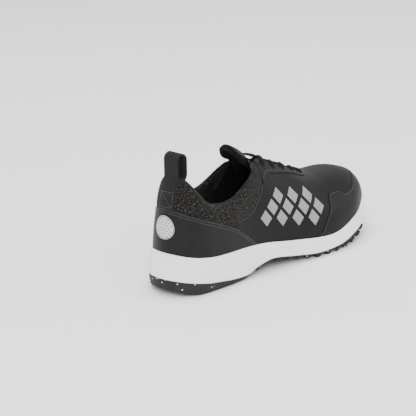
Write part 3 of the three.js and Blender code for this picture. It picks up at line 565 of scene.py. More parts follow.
rubber = Finish("outsole_rubber", Specular_IOR_Level=0.28)
scuff = rubber.noise(60.0, 5.0)
black = rubber.ramp(scuff, [(0.3, srgb(18, 19, 18)), (0.75, srgb(34, 35, 34))])
fleck_shape = rubber.cells(330.0)
fleck_pick = rubber.add("SeparateColor", {0: rubber.cells(330.0, out=1)})
small = rubber.math("LESS_THAN", fleck_shape, 0.24)
chosen = rubber.math("GREATER_THAN", fleck_pick, 0.8)
flecked = rubber.add("Mix", {0: rubber.math("MULTIPLY", small, chosen), 6: black,
                             7: srgb(205, 205, 203)}, 2, data_type="RGBA")
rubber_material = rubber.paint(flecked, rubber.span(scuff, 0.55, 0.75), rubber.noise(900.0), 0.2,
                               0.0002)


def film_finish(name, dark, light, rough, pitch=0.72, swing=0.42):
    """Printed film with fine zigzag ribs across it, drawn in the map's millimetres, with painted light on
    their crests and painted shade in their troughs.
    """
    f = Finish(name, Specular_IOR_Level=0.5)
    cloth = f.add("SeparateXYZ", {0: f.place.outputs["UV"]})
    u = cloth.node.outputs[0]
    v = cloth.node.outputs[1]
    zig = f.math("ABSOLUTE", f.math("SUBTRACT", f.math("FRACT", f.math("MULTIPLY", u, 0.55)), 0.5))
    rib = f.math("SINE", f.math("MULTIPLY", f.math("ADD", f.math("MULTIPLY", v, pitch),
                                                   f.math("MULTIPLY", zig, swing)), 6.283))
    band = f.span(f.math("ADD", f.math("MULTIPLY", rib, 0.5), 0.5), 0.0, 1.0)
    # painted shade and painted light: the band that raises the ribs also colours them, dark in the troughs
    # and light on the crests
    return f.paint(f.ramp(band, [(0.25, dark), (0.75, light)]), f.span(band, rough, rough - 0.15),
                   band, 0.5, 0.0003)


grey_film = film_finish("side_film", srgb(88, 88, 88), srgb(158, 158, 158), 0.5)
white_film = Finish("heel_film", Roughness=0.42, Specular_IOR_Level=0.5)
film_map = white_film.add("SeparateXYZ", {0: white_film.place.outputs["UV"]})
# painted shade: the film is darkened where its map says it lies in a dimple or in the rim groove
film_shade = white_film.ramp(film_map.node.outputs[0], [(0.0, srgb(204, 204, 207)), (0.9, srgb(96, 97, 100))])
film_tone = white_film.ramp(white_film.noise(400.0), [(0.3, (0.92, 0.92, 0.92, 1)), (0.7, (1, 1, 1, 1))])
white_film_material = white_film.paint(
    white_film.add("Mix", {0: 1.0, 6: film_shade, 7: film_tone}, 2, data_type="RGBA",
                   blend_type="MULTIPLY"), None, white_film.noise(1500.0), 0.1, 0.0001)

inner_plastic = Finish("inner_plastic", Roughness=0.5)
inner_plastic_material = inner_plastic.paint(
    inner_plastic.ramp(inner_plastic.noise(90.0), [(0.3, srgb(100, 102, 106)),
                                                   (0.7, srgb(126, 128, 130))]),
    None, inner_plastic.noise(800.0), 0.1, 0.0002)
board_fibre = Finish("board_fibre", Roughness=0.9)
board_material = board_fibre.paint(
    board_fibre.ramp(board_fibre.noise(600.0, 6.0), [(0.3, srgb(164, 158, 146)),
                                                     (0.7, srgb(196, 190, 178))]),
    None, board_fibre.noise(1800.0), 0.3, 0.0003)
print("finishes:", len(bpy.data.materials))

# %% [markdown]
# ## The camera, the floor and the light
# The shoe is seen from behind its outer side and a little above, with a long lens, so that its sides
# stay nearly parallel. The light is a studio's: a white surround, a broad soft lamp over the heel
# side, one straight above and a weaker one over the toe.

# %% Camera, floor and lamps
AZIMUTH, ELEVATION, DISTANCE = math.radians(-49.3), math.radians(18.0), 1.5087
aim = np.array([0.00181, -0.00157, 0.05])
back = np.array([math.sin(AZIMUTH) * math.cos(ELEVATION), -math.cos(AZIMUTH) * math.cos(ELEVATION),
                 math.sin(ELEVATION)])
camera = bpy.data.objects.new("camera", bpy.data.cameras.new("camera"))
bpy.context.collection.objects.link(camera)
camera.location = aim + back * DISTANCE
camera.rotation_mode = "QUATERNION"
camera.rotation_quaternion = (camera.location - Vector(aim)).to_track_quat("Z", "Y")
camera.data.lens = 128.9
camera.data.sensor_width = 36
camera.data.shift_x = -0.133
camera.data.clip_start = 0.05
bpy.context.scene.camera = camera

FLOOR_HALF, FLOOR_LEVEL = 3.0, -0.0004  # metres; just under the lowest lug
corners = [(sx * FLOOR_HALF, sy * FLOOR_HALF, FLOOR_LEVEL)
           for sx, sy in ((-1, -1), (1, -1), (1, 1), (-1, 1))]
floor_mesh = bpy.data.meshes.new("floor")
floor_mesh.from_pydata(corners, [], [(0, 1, 2, 3)])
floor = bpy.data.objects.new("floor", floor_mesh)
bpy.context.collection.objects.link(floor)
floor_paint = Finish("floor_paint", Roughness=0.9, Specular_IOR_Level=0.1)
floor_mesh.materials.append(floor_paint.paint(floor_paint.ramp(
    floor_paint.noise(3.0), [(0.3, (0.97, 0.97, 0.97, 1)), (0.7, (0.985, 0.985, 0.985, 1))])))


def lamp(name, place, size, power):
    """A square area lamp in metres that looks at the shoe."""
    data = bpy.data.lights.new(name, "AREA")
    data.size = size
    data.energy = power
    obj = bpy.data.objects.new(name, data)
    obj.location = place
    obj.rotation_mode = "QUATERNION"
    obj.rotation_quaternion = (obj.location - Vector(aim)).to_track_quat("Z", "Y")
    bpy.context.collection.objects.link(obj)
    return obj


lamp("key", (-1.5, -1.2, 1.5), 1.4, 46)
lamp("top", (0.1, 0.2, 2.0), 1.6, 30)
lamp("toe_fill", (1.6, -1.3, 0.9), 1.2, 12)
world = bpy.data.worlds.new("surround")
world.use_nodes = True
world.node_tree.nodes["Background"].inputs[0].default_value = (1, 1, 1, 1)
world.node_tree.nodes["Background"].inputs[1].default_value = 1.12
bpy.context.scene.world = world

# %% [markdown]
# ## Where the pieces go
# Three hinges move the frame: the forefoot flex, the fold of the tongue and the swing of the pull
# tab. A piece that crosses a hinge is named with it, but nothing here bends it: its place is only
# baked into its points. Every other piece is attached to its body. The real flex spreads over 60 mm.


def finish_piece(obj, stands_for, body="rearfoot", bends=None):
    """Hides the solids that the piece replaces, and attaches it to its body, or, when a hinge is named, only
    bakes its place into its points.
    """
    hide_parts(*stands_for)
    if bends == "flex":
        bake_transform(obj)
    elif bends == "tongue":
        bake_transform(obj)
    elif bends == "tab":
        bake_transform(obj)
    else:
        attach(obj, body)
    return obj


# %% [markdown]
# ## The sole
# The midsole is one moulding: its wall leans out towards the ground, its rim is rounded, and inside
# the rim it drops to the bed that carries the foot. Its rows are loops round the shoe at growing
# heights, and the last rows close over the bed to a line down the middle.

# %% The midsole
around = np.linspace(0, 2, 721)[:-1]
ox, oy = outline(around)
step_x, step_y = (a - b for a, b in zip(outline(around + 0.004), outline(around - 0.004)))
size = np.hypot(step_x, step_y)
out_x, out_y = step_y / size, -step_x / size
spine_x = np.clip(ox, 34, 258)
spine_y = ridge_offset(spine_x)
heelness = np.clip((40 - ox) / 40, 0, 1)
flare = 3.7 + 3.0 * heelness


def loop_at(offset, height, gather=0.0):
    """Loop round the shoe: the bite line moved outwards, then gathered towards the middle line."""
    x, y = ox + out_x * offset, oy + out_y * offset
    return np.stack([x + (spine_x - x) * gather, y + (spine_y - y) * gather,
                     np.broadcast_to(height, ox.shape)], -1)


def between(f):
    """Height a fraction of the way from the midsole's lower edge to its rim."""
    return midsole_bottom(ox) + (rim_height(ox) - midsole_bottom(ox)) * f


rows = [loop_at(flare - 1.2, midsole_bottom(ox) + 0.2, g) for g in (1.0, 0.75, 0.4, 0.12)]
rows += [loop_at(flare + push, between(f)) for push, f in ((-1.2, 0.0), (-0.5, 0.02), (-0.1, 0.06))]
for f in np.linspace(0.1, 0.94, 16):
    mix = np.clip((f - 0.1) / 0.84, 0, 1)
    swell = 0.35 * np.sin(np.pi * mix) + 0.35 * ease(mix, 0.62, 0.72) * (1 - ease(mix, 0.74, 0.9))
    rows.append(loop_at(flare + (2.0 - flare) * ease(mix, -0.2, 1.15) + swell, between(f)))
rim = rim_height(ox)
for angle in np.radians([0, 30, 60, 90, 130, 180]):
    rows.append(loop_at(0.95 + 1.05 * np.cos(angle), rim - 1.05 + 1.05 * np.sin(angle)))
rows += [loop_at(-0.15, rim - 2.5), loop_at(-1.0, rim - 8), loop_at(-2.5, bed_height(ox) + 0.6)]
rows += [loop_at(-3.5, bed_height(ox), g) for g in (0.05, 0.4, 0.75, 1.0)]
midsole = make_piece("midsole", [(np.array(rows), faces_of(len(rows), len(ox), wrap_cols=True),
                                  None)], foam_material, weld=3e-5)
finish_piece(midsole, ["midsole_rear", "midsole_crease", "midsole_fore"], bends="flex")

# %% [markdown]
# The outsole is a thin rubber sheet under the midsole with six-sided lugs. Along the heel it grows
# into a smooth band down to the ground. The lugs along the edge stand straight, and they give the
# forefoot its toothed outline from the side. Each lug is one small closed form of 36 points. Its
# facets are left flat, so that their edges stay crisp.

# %% The outsole and its lugs
room = midsole_bottom(ox) - ground_line(ox)
sheet_depth = np.maximum(2.4, room * 0.55 * (1 + 0.35 * heelness))
sheet_low = midsole_bottom(ox) - np.minimum(sheet_depth, room)
heel_band = 1 - ease(ox, 78, 96)
band_low = sheet_low * (1 - heel_band) + (ground_line(ox) + 0.2) * heel_band
band_high = midsole_bottom(ox) + 0.5
rows = [loop_at(flare - 4.5, band_low, g) for g in (1.0, 0.7, 0.35, 0.1)]
rows += [loop_at(flare - 4.5 + 2.6 * np.sin(a), band_low + 1.4 * (1 - np.cos(a)))
         for a in np.radians([0, 20, 45, 70, 90])]
rows += [loop_at(flare - 1.9 + 1.5 * f, band_low + 1.4 + (band_high - band_low - 1.4) * f)
         for f in (0.25, 0.5, 0.75, 1.0)]
rows += [loop_at(flare - 1.6, band_high + 0.4), loop_at(flare - 4, band_high)]
rows += [loop_at(flare - 4.5, band_high - 0.2, g) for g in (0.1, 0.4, 0.75, 1.0)]
sole_parts = [(np.array(rows), faces_of(len(rows), len(ox), wrap_cols=True), None)]

lug_angle = np.linspace(0, 2 * np.pi, 6, endpoint=False) + 0.26
LUG_RINGS = [(0.0, 0.0), (0.62, 0.0), (0.74, 0.35), (1.0, 3.2), (1.05, 5.0)]


def lug(x, y, radius, lean=(0.0, 0.0)):
    """Six-sided stud: rings that widen upwards from the ground line into the sheet."""
    foot = ground_line(np.array(x))
    top = midsole_bottom(np.array(x)) - 0.6
    rings = []
    for scale, up in LUG_RINGS:
        rings.append(np.stack([
            x + radius * scale * np.cos(lug_angle) + lean[0] * up * 0.2,
            y + radius * scale * np.sin(lug_angle) + lean[1] * up * 0.2,
            np.full(6, foot + min(up, max(top - foot, 0.1)))], -1))
    rings.append(np.repeat(rings[-1].mean(0)[None], 6, 0))
    return np.array(rings)


rng = np.random.default_rng(7)
lug_faces = faces_of(6, 6, wrap_cols=True)
placed = 0
for row, station in enumerate(np.arange(20, 282, 13.5)):
    depth = float(midsole_bottom(station) - ground_line(station))
    left = float(outline(column(-1, station))[1]) - 3.2
    right = float(outline(column(1, station))[1]) + 3.2
    count = max(2, int(round((right - left - 9) / 13.5)))
    for k in range(count + 1):
        at_edge = k in (0, count)
        y = left + 4.4 + (right - left - 8.8) * k / count + (0 if at_edge else rng.uniform(-1, 1))
        in_arch = 96 < station < 150 and not at_edge
        if depth < 2.6 or (station < 90 and at_edge) or in_arch:
            continue
        x = station + (3.4 if row % 2 and not at_edge else 0) + rng.uniform(-0.6, 0.6)
        radius = 4.6 if at_edge else 5.2
        sole_parts.append((lug(x, y, radius), lug_faces[:, ::-1], None))
        placed += 1
outsole = make_piece("outsole", sole_parts, rubber_material, weld=0, smooth=False)
print("lugs:", placed)
finish_piece(outsole, ["outsole_rear", "outsole_fore"], bends="flex")

# %% [markdown]
# Inside lie the board that the upper is sewn to and the foam sockliner on top of it. Both follow
# the bite line a few millimetres in. The sockliner's edge turns up against the wall.

# %% Board and sockliner
fit = -lining_depth(ox) - 0.6
rows = [loop_at(-2.2, bed_height(ox) + 0.4, g) for g in (1.0, 0.5, 0.1, 0.0)]
rows += [loop_at(-2.2, bed_height(ox) + 1.8, g) for g in (0.0, 0.1, 0.5, 1.0)]
board = make_piece("strobel_board", [(np.array(rows), faces_of(len(rows), len(ox), wrap_cols=True),
                                      None)], board_material, weld=3e-5)
finish_piece(board, ["strobel_board_rear", "strobel_board_crease", "strobel_board_fore"],
             bends="flex")
floor_level = bed_height(ox) + 2.3
rows = [loop_at(fit, floor_level, g) for g in (1.0, 0.6, 0.2, 0.02)]
rows += [loop_at(fit + 0.3, floor_level + up) for up in (1.0, 2.6, 4.2)]
rows += [loop_at(fit - 0.4, floor_level + 4.9), loop_at(fit - 1.6, floor_level + 4.6)]
rows += [loop_at(fit - 3.0, floor_level + 4.0, g) for g in (0.03, 0.12, 0.3, 0.6, 1.0)]
insole_map = [np.stack([r[:, 0], r[:, 1]], -1) for r in rows]
sockliner = make_piece("sockliner", [(np.array(rows), faces_of(len(rows), len(ox), wrap_cols=True),
                                      np.array(insole_map))], lining_knit, weld=3e-5)
finish_piece(sockliner, ["sockliner_rear", "sockliner_crease", "sockliner_fore"],
             bends="flex")

# %% [markdown]
# ## The upper
# The leather is one sheet over the toes and up both sides, cut along the mesh edge behind and
# along the throat above, which is how the real panel is cut from one hide. Its columns are spaced
# closer round the toe, and its upper rows are closer at the cut edges, where the sheet turns down.

# %% Leather of the quarters and the vamp


def throat_top(c):
    """Rise where a column meets the mouth, 0.2 mm short of it."""
    return rise_where(c, lambda p: in_mouth(p, -0.2), start=0.3)


def leather_top(c):
    return np.minimum(throat_top(c), rise_where(c, lambda p: np.where(
        p[..., 0] < 134, p[..., 2] - mesh_edge(p[..., 0]), -9), start=0.0))


def leather_low(c):
    """Under the heel cap the leather starts 3 mm below the cap's top, elsewhere at the bite line."""
    low = np.where(outline(c)[0] < COLLAR_FRONT, rise_where(c, above(heel_cap_top, -3.0)), 0.0)
    return np.minimum(low, leather_top(c) - 0.004)


outer_stations = outline(np.concatenate([np.linspace(column(-1, 71.0), 0.93, 230),
                                         np.linspace(0.93, 1, 60)[1:]]))[0]
quarters = pair_sheet("quarters_and_vamp", outer_stations, leather_low, leather_top,
                      lambda p, v: 0.15, leather, count=60, lip=1.2, thickness=1.4)
finish_piece(quarters, ["quarter_lateral", "quarter_medial", "vamp_crease", "vamp"],
             bends="flex")

# %% [markdown]
# The collar is a cushion: foam under the knitted mesh, from the cap and the quarters up to the edge
# of the opening, over it and down the inside. It is one closed form. Its outer face crowns, its
# inner face follows the lining, and both meet in a wide soft roll, wider where the foam is thicker.

# %% The padded collar
collar_front = 127.0
collar_columns = np.linspace(column(1, collar_front) - 2, column(-1, collar_front), 420)


def collar_top(c):
    return rise_where(c, lambda p: in_mouth(p), start=0.35)


def collar_low(c):
    lower = rise_where(c, above(lambda x: np.maximum(heel_cap_top(x), mesh_edge(x)), -4.0))
    return np.minimum(lower, collar_top(c) - 0.01)


def crown(p, v):
    """Swell of the padding: a sine over the height of the collar, as strong as the foam is thick."""
    return 0.1 + (0.4 + 1.7 * pad_fade(p[..., 0])) * np.sin(np.pi * np.clip(v, 0, 1) ** 0.9) ** 0.9


def collar_inside(p, v):
    return -lining_depth(p[..., 0]) - 0.6 * pad_fade(p[..., 0]) * np.sin(np.pi * v) ** 2


collar = shell("collar", collar_columns, collar_low(collar_columns), collar_top(collar_columns),
               crown, collar_inside, collar_knit, count=44, lip=5.5, top_lip=9.0, ends=False)
finish_piece(collar, ["collar_mesh_lateral", "collar_mesh_medial", "collar_foam",
                              "collar_topline"])

# %% [markdown]
# The heel cap and the toe guard are second layers of leather, glued and sewn on. Each is a closed
# panel a little under a millimetre proud, so its skived edge catches the light as a line.

# %% Heel cap and toe guard
cap_columns = np.linspace(column(1, 109.0) - 2, column(-1, 109.0), 420)
cap_top = rise_where(cap_columns, above(heel_cap_top))
heel_cap = shell("heel_cap", cap_columns, np.zeros_like(cap_columns), cap_top, 1.0, -1.6,
                 smooth_leather, count=34, lip=0.9, ends=False)
finish_piece(heel_cap, ["heel_cap"])

guard_columns = np.linspace(column(-1, 170.0), column(1, 170.0), 620)
guard_top = rise_where(guard_columns, above(guard_edge))
toe_guard = shell("toe_guard", guard_columns, np.zeros_like(guard_columns), guard_top, 0.85, -1.0,
                  guard_leather, count=34, lip=0.8, ends=False)
finish_piece(toe_guard, ["toe_guard", "toe_guard_wing_lateral",
                                           "toe_guard_wing_medial"], bends="flex")

# %% [markdown]
# The eyestay is a strip sewn round the throat that carries the eyelets. It follows the throat's
# edge and closes round its toe end in a curve.

# %% The eyestay
EYESTAY_WIDTH = 12.5
eyestay_nose = 213.0


def band_half(x):
    """Half width of the eyestay's outer border, seen from above, closing in a quarter ellipse."""
    inset = throat_half(np.minimum(x, THROAT_END)) + EYESTAY_WIDTH
    closing = np.clip((x - 197) / (eyestay_nose - 197), 0, 1)
    return inset * np.sqrt(np.maximum(1 - closing ** 2, 0))


def eyestay_low(c):
    low = rise_where(c, lambda p: band_half(p[..., 0]) - abs(p[..., 1] - ridge_offset(p[..., 0])),
                     start=0.35)
    return np.minimum(low, throat_top(c) - 1e-3)


eyestay_stations = np.concatenate([np.linspace(119, 205, 130),
                                   np.linspace(205, eyestay_nose - 0.1, 24)[1:]])
eyestay = pair_sheet("eyestay", eyestay_stations, eyestay_low, throat_top,
                     lambda p, v: 0.15 + 1.0 * ease(p[..., 0], 118.5, 120.5), leather, count=14,
                     lip=0.9, thickness=1.15)
finish_piece(eyestay, ["eyestay_lateral", "eyestay_medial"], bends="flex")

# %% [markdown]
# The lining closes the inside. It is the same surface again, pushed in by the thickness of all that
# lies over it, from the sockliner up to just under the collar's roll.

# %% The lining


def lining_low(c):
    return rise_where(c, lambda p: p[..., 2] - bed_height(p[..., 0]) - 3.2)


def lining_top(c):
    return rise_where(c, lambda p: in_mouth(p, 7.0 * (1 - ease(p[..., 0], 108, 124)) + 0.8),
                      start=0.3)


lining_stations = outline(np.concatenate([np.linspace(0, 0.06, 26), np.linspace(0.06, 0.93, 200)[1:],
                                          np.linspace(0.93, 1, 40)[1:]]))[0]
lining = pair_sheet("lining", np.maximum.accumulate(lining_stations), lining_low, lining_top,
                    lambda p, v: -(lining_depth(p[..., 0]) - 0.9), lining_knit, count=40, lip=0.6,
                    thickness=1.2, round_top=False, round_low=False)
finish_piece(lining, ["collar_lining", "lining_rear", "lining_crease", "lining_fore"],
             bends="flex")

# %% [markdown]
# ## Printed film on the sides and the heel
# Each side carries an argyle lattice of eleven small lozenges in grey film, and the heel a round
# dimpled golf-ball roundel in white. A lozenge is a square grid turned on its corner, carried to
# the surface by its station and height. The roundel's dimples are hollows on a hexagonal lattice,
# and its map carries how hollow each point is, so that painted shade darkens the film there.

# %% Lozenges
LOZENGE = (7.6, 8.4)  # half width and half height
LOZENGE_ROWS = [(48.0, (116, 137, 158, 179)), (59.0, (126.5, 147.5, 168.5, 189.5)),
                (70.0, (137, 158, 179))]
LATTICE_FALL = -0.2  # how much lower the rows get for each millimetre towards the toe


def side_point(side, x, z, depth):
    """Point above a station and height on one side of the upper, and its outward normal."""
    c = column(side, x)
    low = rim_height(x) - CUP
    up = np.clip((z - low) / (ridge_height(x) - low), 0, 1)
    rise = np.arcsin(up ** (rise_power(x) / 2)) * 2 / np.pi
    normal = upper_normal(c, rise)
    return upper(c, rise) + normal * np.asarray(depth)[..., None], normal


SIDE = 25  # points along one side of a lozenge
grid = np.linspace(-1, 1, SIDE)
edge = quarter_round(1 - abs(grid), 0.06)
ga, gb = np.meshgrid(grid, grid, indexing="ij")
film_lift = 0.12 + 0.34 * np.minimum(edge[:, None], edge[None, :])
lozenge_parts = {-1: [], 1: []}
for level, stations in LOZENGE_ROWS:
    for station in stations:
        for side in (-1, 1):
            x = station + LOZENGE[0] * (ga - gb) / 2
            z = level + LATTICE_FALL * (x - 150) + LOZENGE[1] * (ga + gb) / 2
            face, _ = side_point(side, x, z, film_lift)
            under, _ = side_point(side, x, z, np.full_like(x, -0.1))
            sheet_map = np.stack([x, z], -1)
            quads = faces_of(SIDE, SIDE, flip=side > 0)
            last = SIDE - 1
            border = np.concatenate([
                np.arange(SIDE), np.arange(1, SIDE) * SIDE + last,
                last * SIDE + np.arange(last - 1, -1, -1), np.arange(last - 1, 0, -1) * SIDE])
            after = np.roll(border, -1)
            wall = np.stack([border, border + SIDE ** 2, after + SIDE ** 2, after], -1)
            if side < 0:
                wall = wall[:, ::-1]
            block = np.concatenate([quads, quads[:, ::-1] + SIDE ** 2, wall])
            lozenge_parts[side].append((np.concatenate([face.reshape(-1, 3), under.reshape(-1, 3)]),
                                        block, np.tile(sheet_map.reshape(-1, 2), (2, 1))))
for side, name in ((-1, "lateral"), (1, "medial")):
    film = make_piece(f"lozenges_{name}", lozenge_parts[side], grey_film, weld=0)
    finish_piece(film, [f"side_graphic_{name}"], bends="flex")

# %% The heel roundel
BADGE_RADIUS, BADGE_HEIGHT = 11.5, 66.0
centre_rise = rise_where(np.array(0.0), lambda p: p[..., 2] - BADGE_HEIGHT)
per_column = np.linalg.norm(upper(0.01, centre_rise) - upper(-0.01, centre_rise)) / 0.02
per_rise = np.linalg.norm(upper(0.0, centre_rise + 0.01) - upper(0.0, centre_rise - 0.01)) / 0.02
spin, reach = np.meshgrid(np.linspace(0, 2 * np.pi, 145)[:-1], np.linspace(0, 1, 56), indexing="xy")
flat_u, flat_v = BADGE_RADIUS * reach * np.cos(spin), BADGE_RADIUS * reach * np.sin(spin)
DIMPLE_PITCH = 3.1
rows_v = np.round(flat_v / (DIMPLE_PITCH * 0.866))
shift = (rows_v % 2) * 0.5
near_u = (np.round(flat_u / DIMPLE_PITCH - shift) + shift) * DIMPLE_PITCH
near_v = rows_v * DIMPLE_PITCH * 0.866
from_dimple = np.hypot(flat_u - near_u, flat_v - near_v)
inside_rim = np.hypot(near_u, near_v) < BADGE_RADIUS - 2.2
hollow = np.where(inside_rim, np.cos(np.clip(from_dimple / 1.28, 0, 1) * np.pi / 2) ** 1.3, 0)
rim_ring = ease(reach, 0.86, 0.89) * (1 - ease(reach, 0.93, 0.96))
lift = (1.25 + 0.5 * (1 - reach ** 2) - 0.42 * hollow - 0.3 * rim_ring) * quarter_round(
    (1 - reach) * BADGE_RADIUS, 0.6) + 0.6 * (1 - quarter_round((1 - reach) * BADGE_RADIUS, 0.6))
badge_c, badge_rise = flat_u / per_column, centre_rise + flat_v / per_rise
badge_face = upper(badge_c, badge_rise) + upper_normal(badge_c, badge_rise) * lift[..., None]
badge_back = upper(badge_c, badge_rise) + upper_normal(badge_c, badge_rise) * 0.6
badge_rings = np.concatenate([badge_face, badge_back[::-1]])
# painted shade: how deep each point lies in a dimple or in the rim groove, carried in the map to darken the
# film
badge_shade = np.concatenate([np.maximum(hollow, rim_ring), np.zeros_like(hollow)])
badge_map = np.stack([badge_shade, badge_shade], -1)
badge_faces = faces_of(len(badge_rings), 144, wrap_cols=True)[:, ::-1]
roundel = make_piece("heel_roundel", [(badge_rings, badge_faces, badge_map)], white_film_material,
                     weld=2e-5)
finish_piece(roundel, ["heel_badge"])

# %% [markdown]
# ## Tongue
# The tongue lies under the lace on the instep and stands up in front of the ankle, where it can
# fold. Its pad is foam in textile and its face is leather, sewn on 3 mm from the edge. Both are
# strips across the ridge whose ends and sides are rounded.

# %% Tongue pad and face


def instep(x, across, depth):
    """Point at a station and a distance across from the ridge, sunk below the upper's surface."""
    def on_surface(px, py):
        side = np.where(py < ridge_offset(px), -1, 1)
        c = np.where(side < 0, column(-1, px), column(1, px))
        margin, middle = outline(c)[1], ridge_offset(px)
        inward = np.clip((py - margin) / (middle - margin), 0, 1)
        cosine = (1 - inward) ** (side_power(px) / 2)
        up = np.sqrt(np.clip(1 - cosine ** 2, 0, 1)) ** (2 / rise_power(px))
        low = rim_height(px) - CUP
        return np.stack([px, py, low + (ridge_height(px) - low) * up], -1)
    x, across, depth = np.broadcast_arrays(*(np.asarray(a, float) for a in (x, across, depth)))
    y = ridge_offset(x) + across
    n = np.cross(on_surface(x + 1, y) - on_surface(x - 1, y), on_surface(x, y + 1) - on_surface(x, y - 1))
    n = n / np.linalg.norm(n, axis=-1, keepdims=True)
    return on_surface(x, y) + n * depth[..., None]


tongue_depth = profile([(97, -0.5), (112, -1.8), (120, -5.6), (124, -6.8), (203, -6.8), (208, -4.6),
                        (212, -4.6)])
tongue_half = profile([(97, 11), (99.5, 13.7), (106, 15.2), (112, 15), (117, 15), (125, 21),
                       (136, 25), (160, 25), (200, 18), (212, 14)])


def tongue_strip(name, start, end, inset, high, low, lip, finish, swell=0.0):
    """Closed strip along the instep: rings across it, with a rounded edge all the way round."""
    x = np.concatenate([start + np.array([0, 0.1, 0.35, 0.8, 1.4, 2.2]) * lip / 2.2,
                        np.linspace(start + lip * 1.1, end - 1, 110), [end]])[:, None]
    side = np.concatenate([[-1, -0.995, -0.98, -0.95], np.linspace(-0.91, 0.91, 41),
                           [0.95, 0.98, 0.995, 1]])[None, :]
    half = tongue_half(x) - inset
    round_off = quarter_round((1 - abs(side)) * half, lip) * quarter_round(x - start, lip)
    mid = (high + low) / 2
    puff = swell * (1 - side ** 2) * ease(x, start, start + 12)
    top = instep(x, side * half, tongue_depth(x) + mid + (high - mid) * round_off + puff)
    under = instep(x, side * half, tongue_depth(x) + mid + (low - mid) * round_off - puff)
    ring = np.concatenate([top, under[:, -2:0:-1]], axis=1)
    cloth = np.concatenate([np.broadcast_to(side * half, top.shape[:2]),
                            np.broadcast_to(side * half, top.shape[:2])[:, -2:0:-1]], axis=1)
    cloth = np.stack([cloth, np.broadcast_to(x, cloth.shape)], -1)
    quads = faces_of(ring.shape[0], ring.shape[1], wrap_cols=True)
    return make_piece(name, [(ring, quads, cloth)], finish)


tongue_pad = tongue_strip("tongue_pad", 96.6, 210.5, 0.0, -1.0, -4.9, 2.2, lining_knit, swell=0.35)
finish_piece(tongue_pad, ["tongue_pad_lower", "tongue_pad_top"], bends="tongue")
tongue_face = tongue_strip("tongue_face", 97.4, 210.3, 0.8, 0.3, -1.2, 0.9, leather, swell=0.3)
finish_piece(tongue_face, ["tongue_face_lower", "tongue_face_top"], bends="tongue")

# %% [markdown]
# ## Lace
# One flat woven lace. A bar crosses the lowest row, then each half climbs the throat: in at an
# eyelet, under the eyestay, across, and over that side's eyestay to the next eyelet. It is held all
# the way, and both ends are tucked in beside the tongue, so none of it is a free cord.

# %% The lace
EYELET_STATIONS = np.array([200.0, 184, 167, 149, 131])
EYELET_INSET = 6.0
UNDER, OVER = -5.16, 2.75


def lace_route(side):
    """Points of one half as (station, across, depth), from the lowest bar up to its tucked end."""
    route = [(EYELET_STATIONS[0], side * 3, OVER)]

    def through(x, s):
        eye = throat_half(x) + EYELET_INSET
        for across, depth in ((-3.3, OVER + 0.1), (-1, OVER), (0.2, OVER - 1.6), (0, -1),
                              (-0.2, UNDER + 1.4)):
            route.append((x, s * (eye + across), depth))
    through(EYELET_STATIONS[0], side)
    for x, following in zip(EYELET_STATIONS[:-1], EYELET_STATIONS[1:]):
        eye = throat_half(x) + EYELET_INSET
        route.append((x, side * (eye - 1.6), UNDER))
        route.append((x - 1, side * (throat_half(x) - 1), UNDER))
        route.append(((x + following) / 2, 0, -2.4 if side > 0 else 0.6))
        route.append((following + 3, -side * throat_half(following) * 0.55, 1.4))
        route.append((following + 1.2, -side * (throat_half(following) - 0.8), OVER))
        side = -side
        through(following, side)
    top = EYELET_STATIONS[-1]
    eye = throat_half(top) + EYELET_INSET
    route += [(top, side * (eye - 1.4), UNDER), (top - 3, side * (eye - 1.6), UNDER),
              (top - 6, side * (eye - 1.6), UNDER)]
    return [tuple(float(v) for v in p) for p in route]


def smooth_path(points, per_piece=10):
    """Open centripetal Catmull-Rom through points of any width."""
    p = np.vstack([2 * points[0] - points[1], points, 2 * points[-1] - points[-2]])
    p0, p1, p2, p3 = p[:-3], p[1:-2], p[2:-1], p[3:]
    d0, d1, d2 = (np.linalg.norm(b - a, axis=1, keepdims=True) ** 0.5
                  for a, b in ((p0, p1), (p1, p2), (p2, p3)))
    m1 = ((p1 - p0) / d0 - (p2 - p0) / (d0 + d1) + (p2 - p1) / d1) * d1
    m2 = ((p2 - p1) / d1 - (p3 - p1) / (d1 + d2) + (p3 - p2) / d2) * d1
    t = np.linspace(0, 1, per_piece, endpoint=False)[None, :, None]
    a, b, c, d = p1[:, None], m1[:, None], p2[:, None], m2[:, None]
    at = ((2 * t**3 - 3 * t**2 + 1) * a + (t**3 - 2 * t**2 + t) * b
          + (3 * t**2 - 2 * t**3) * c + (t**3 - t**2) * d)
    return np.vstack([at.reshape(-1, p.shape[1]), points[-1:]])


def ribbon(name, path, wide_way, width, thickness, finish, sides=20, power=0.75):
    """Flat band along a path. Its section is a superellipse, and both ends close to a point."""
    tangent = np.gradient(path, axis=0)
    tangent /= np.linalg.norm(tangent, axis=1, keepdims=True)
    across = wide_way - (wide_way * tangent).sum(1, keepdims=True) * tangent
    across /= np.linalg.norm(across, axis=1, keepdims=True)
    through = np.cross(tangent, across)
    angle = np.linspace(0, 2 * np.pi, sides, endpoint=False)
    su = np.sign(np.cos(angle)) * abs(np.cos(angle)) ** power * width / 2
    sv = np.sign(np.sin(angle)) * abs(np.sin(angle)) ** power * thickness / 2
    close = np.ones(len(path))
    close[[0, -1]] = 0.02
    close[[1, -2]] = 0.75
    ring = (path[:, None] + across[:, None] * (su[None, :, None] * close[:, None, None])
            + through[:, None] * (sv[None, :, None] * close[:, None, None]))
    walk = np.concatenate([[0], np.cumsum(np.linalg.norm(np.diff(path, axis=0), axis=1))])
    cloth = np.stack(np.broadcast_arrays(su[None, :], walk[:, None]), -1)
    quads = faces_of(len(path), sides, wrap_cols=True)
    return make_piece(name, [(ring, quads, cloth)], finish, weld=1e-6)


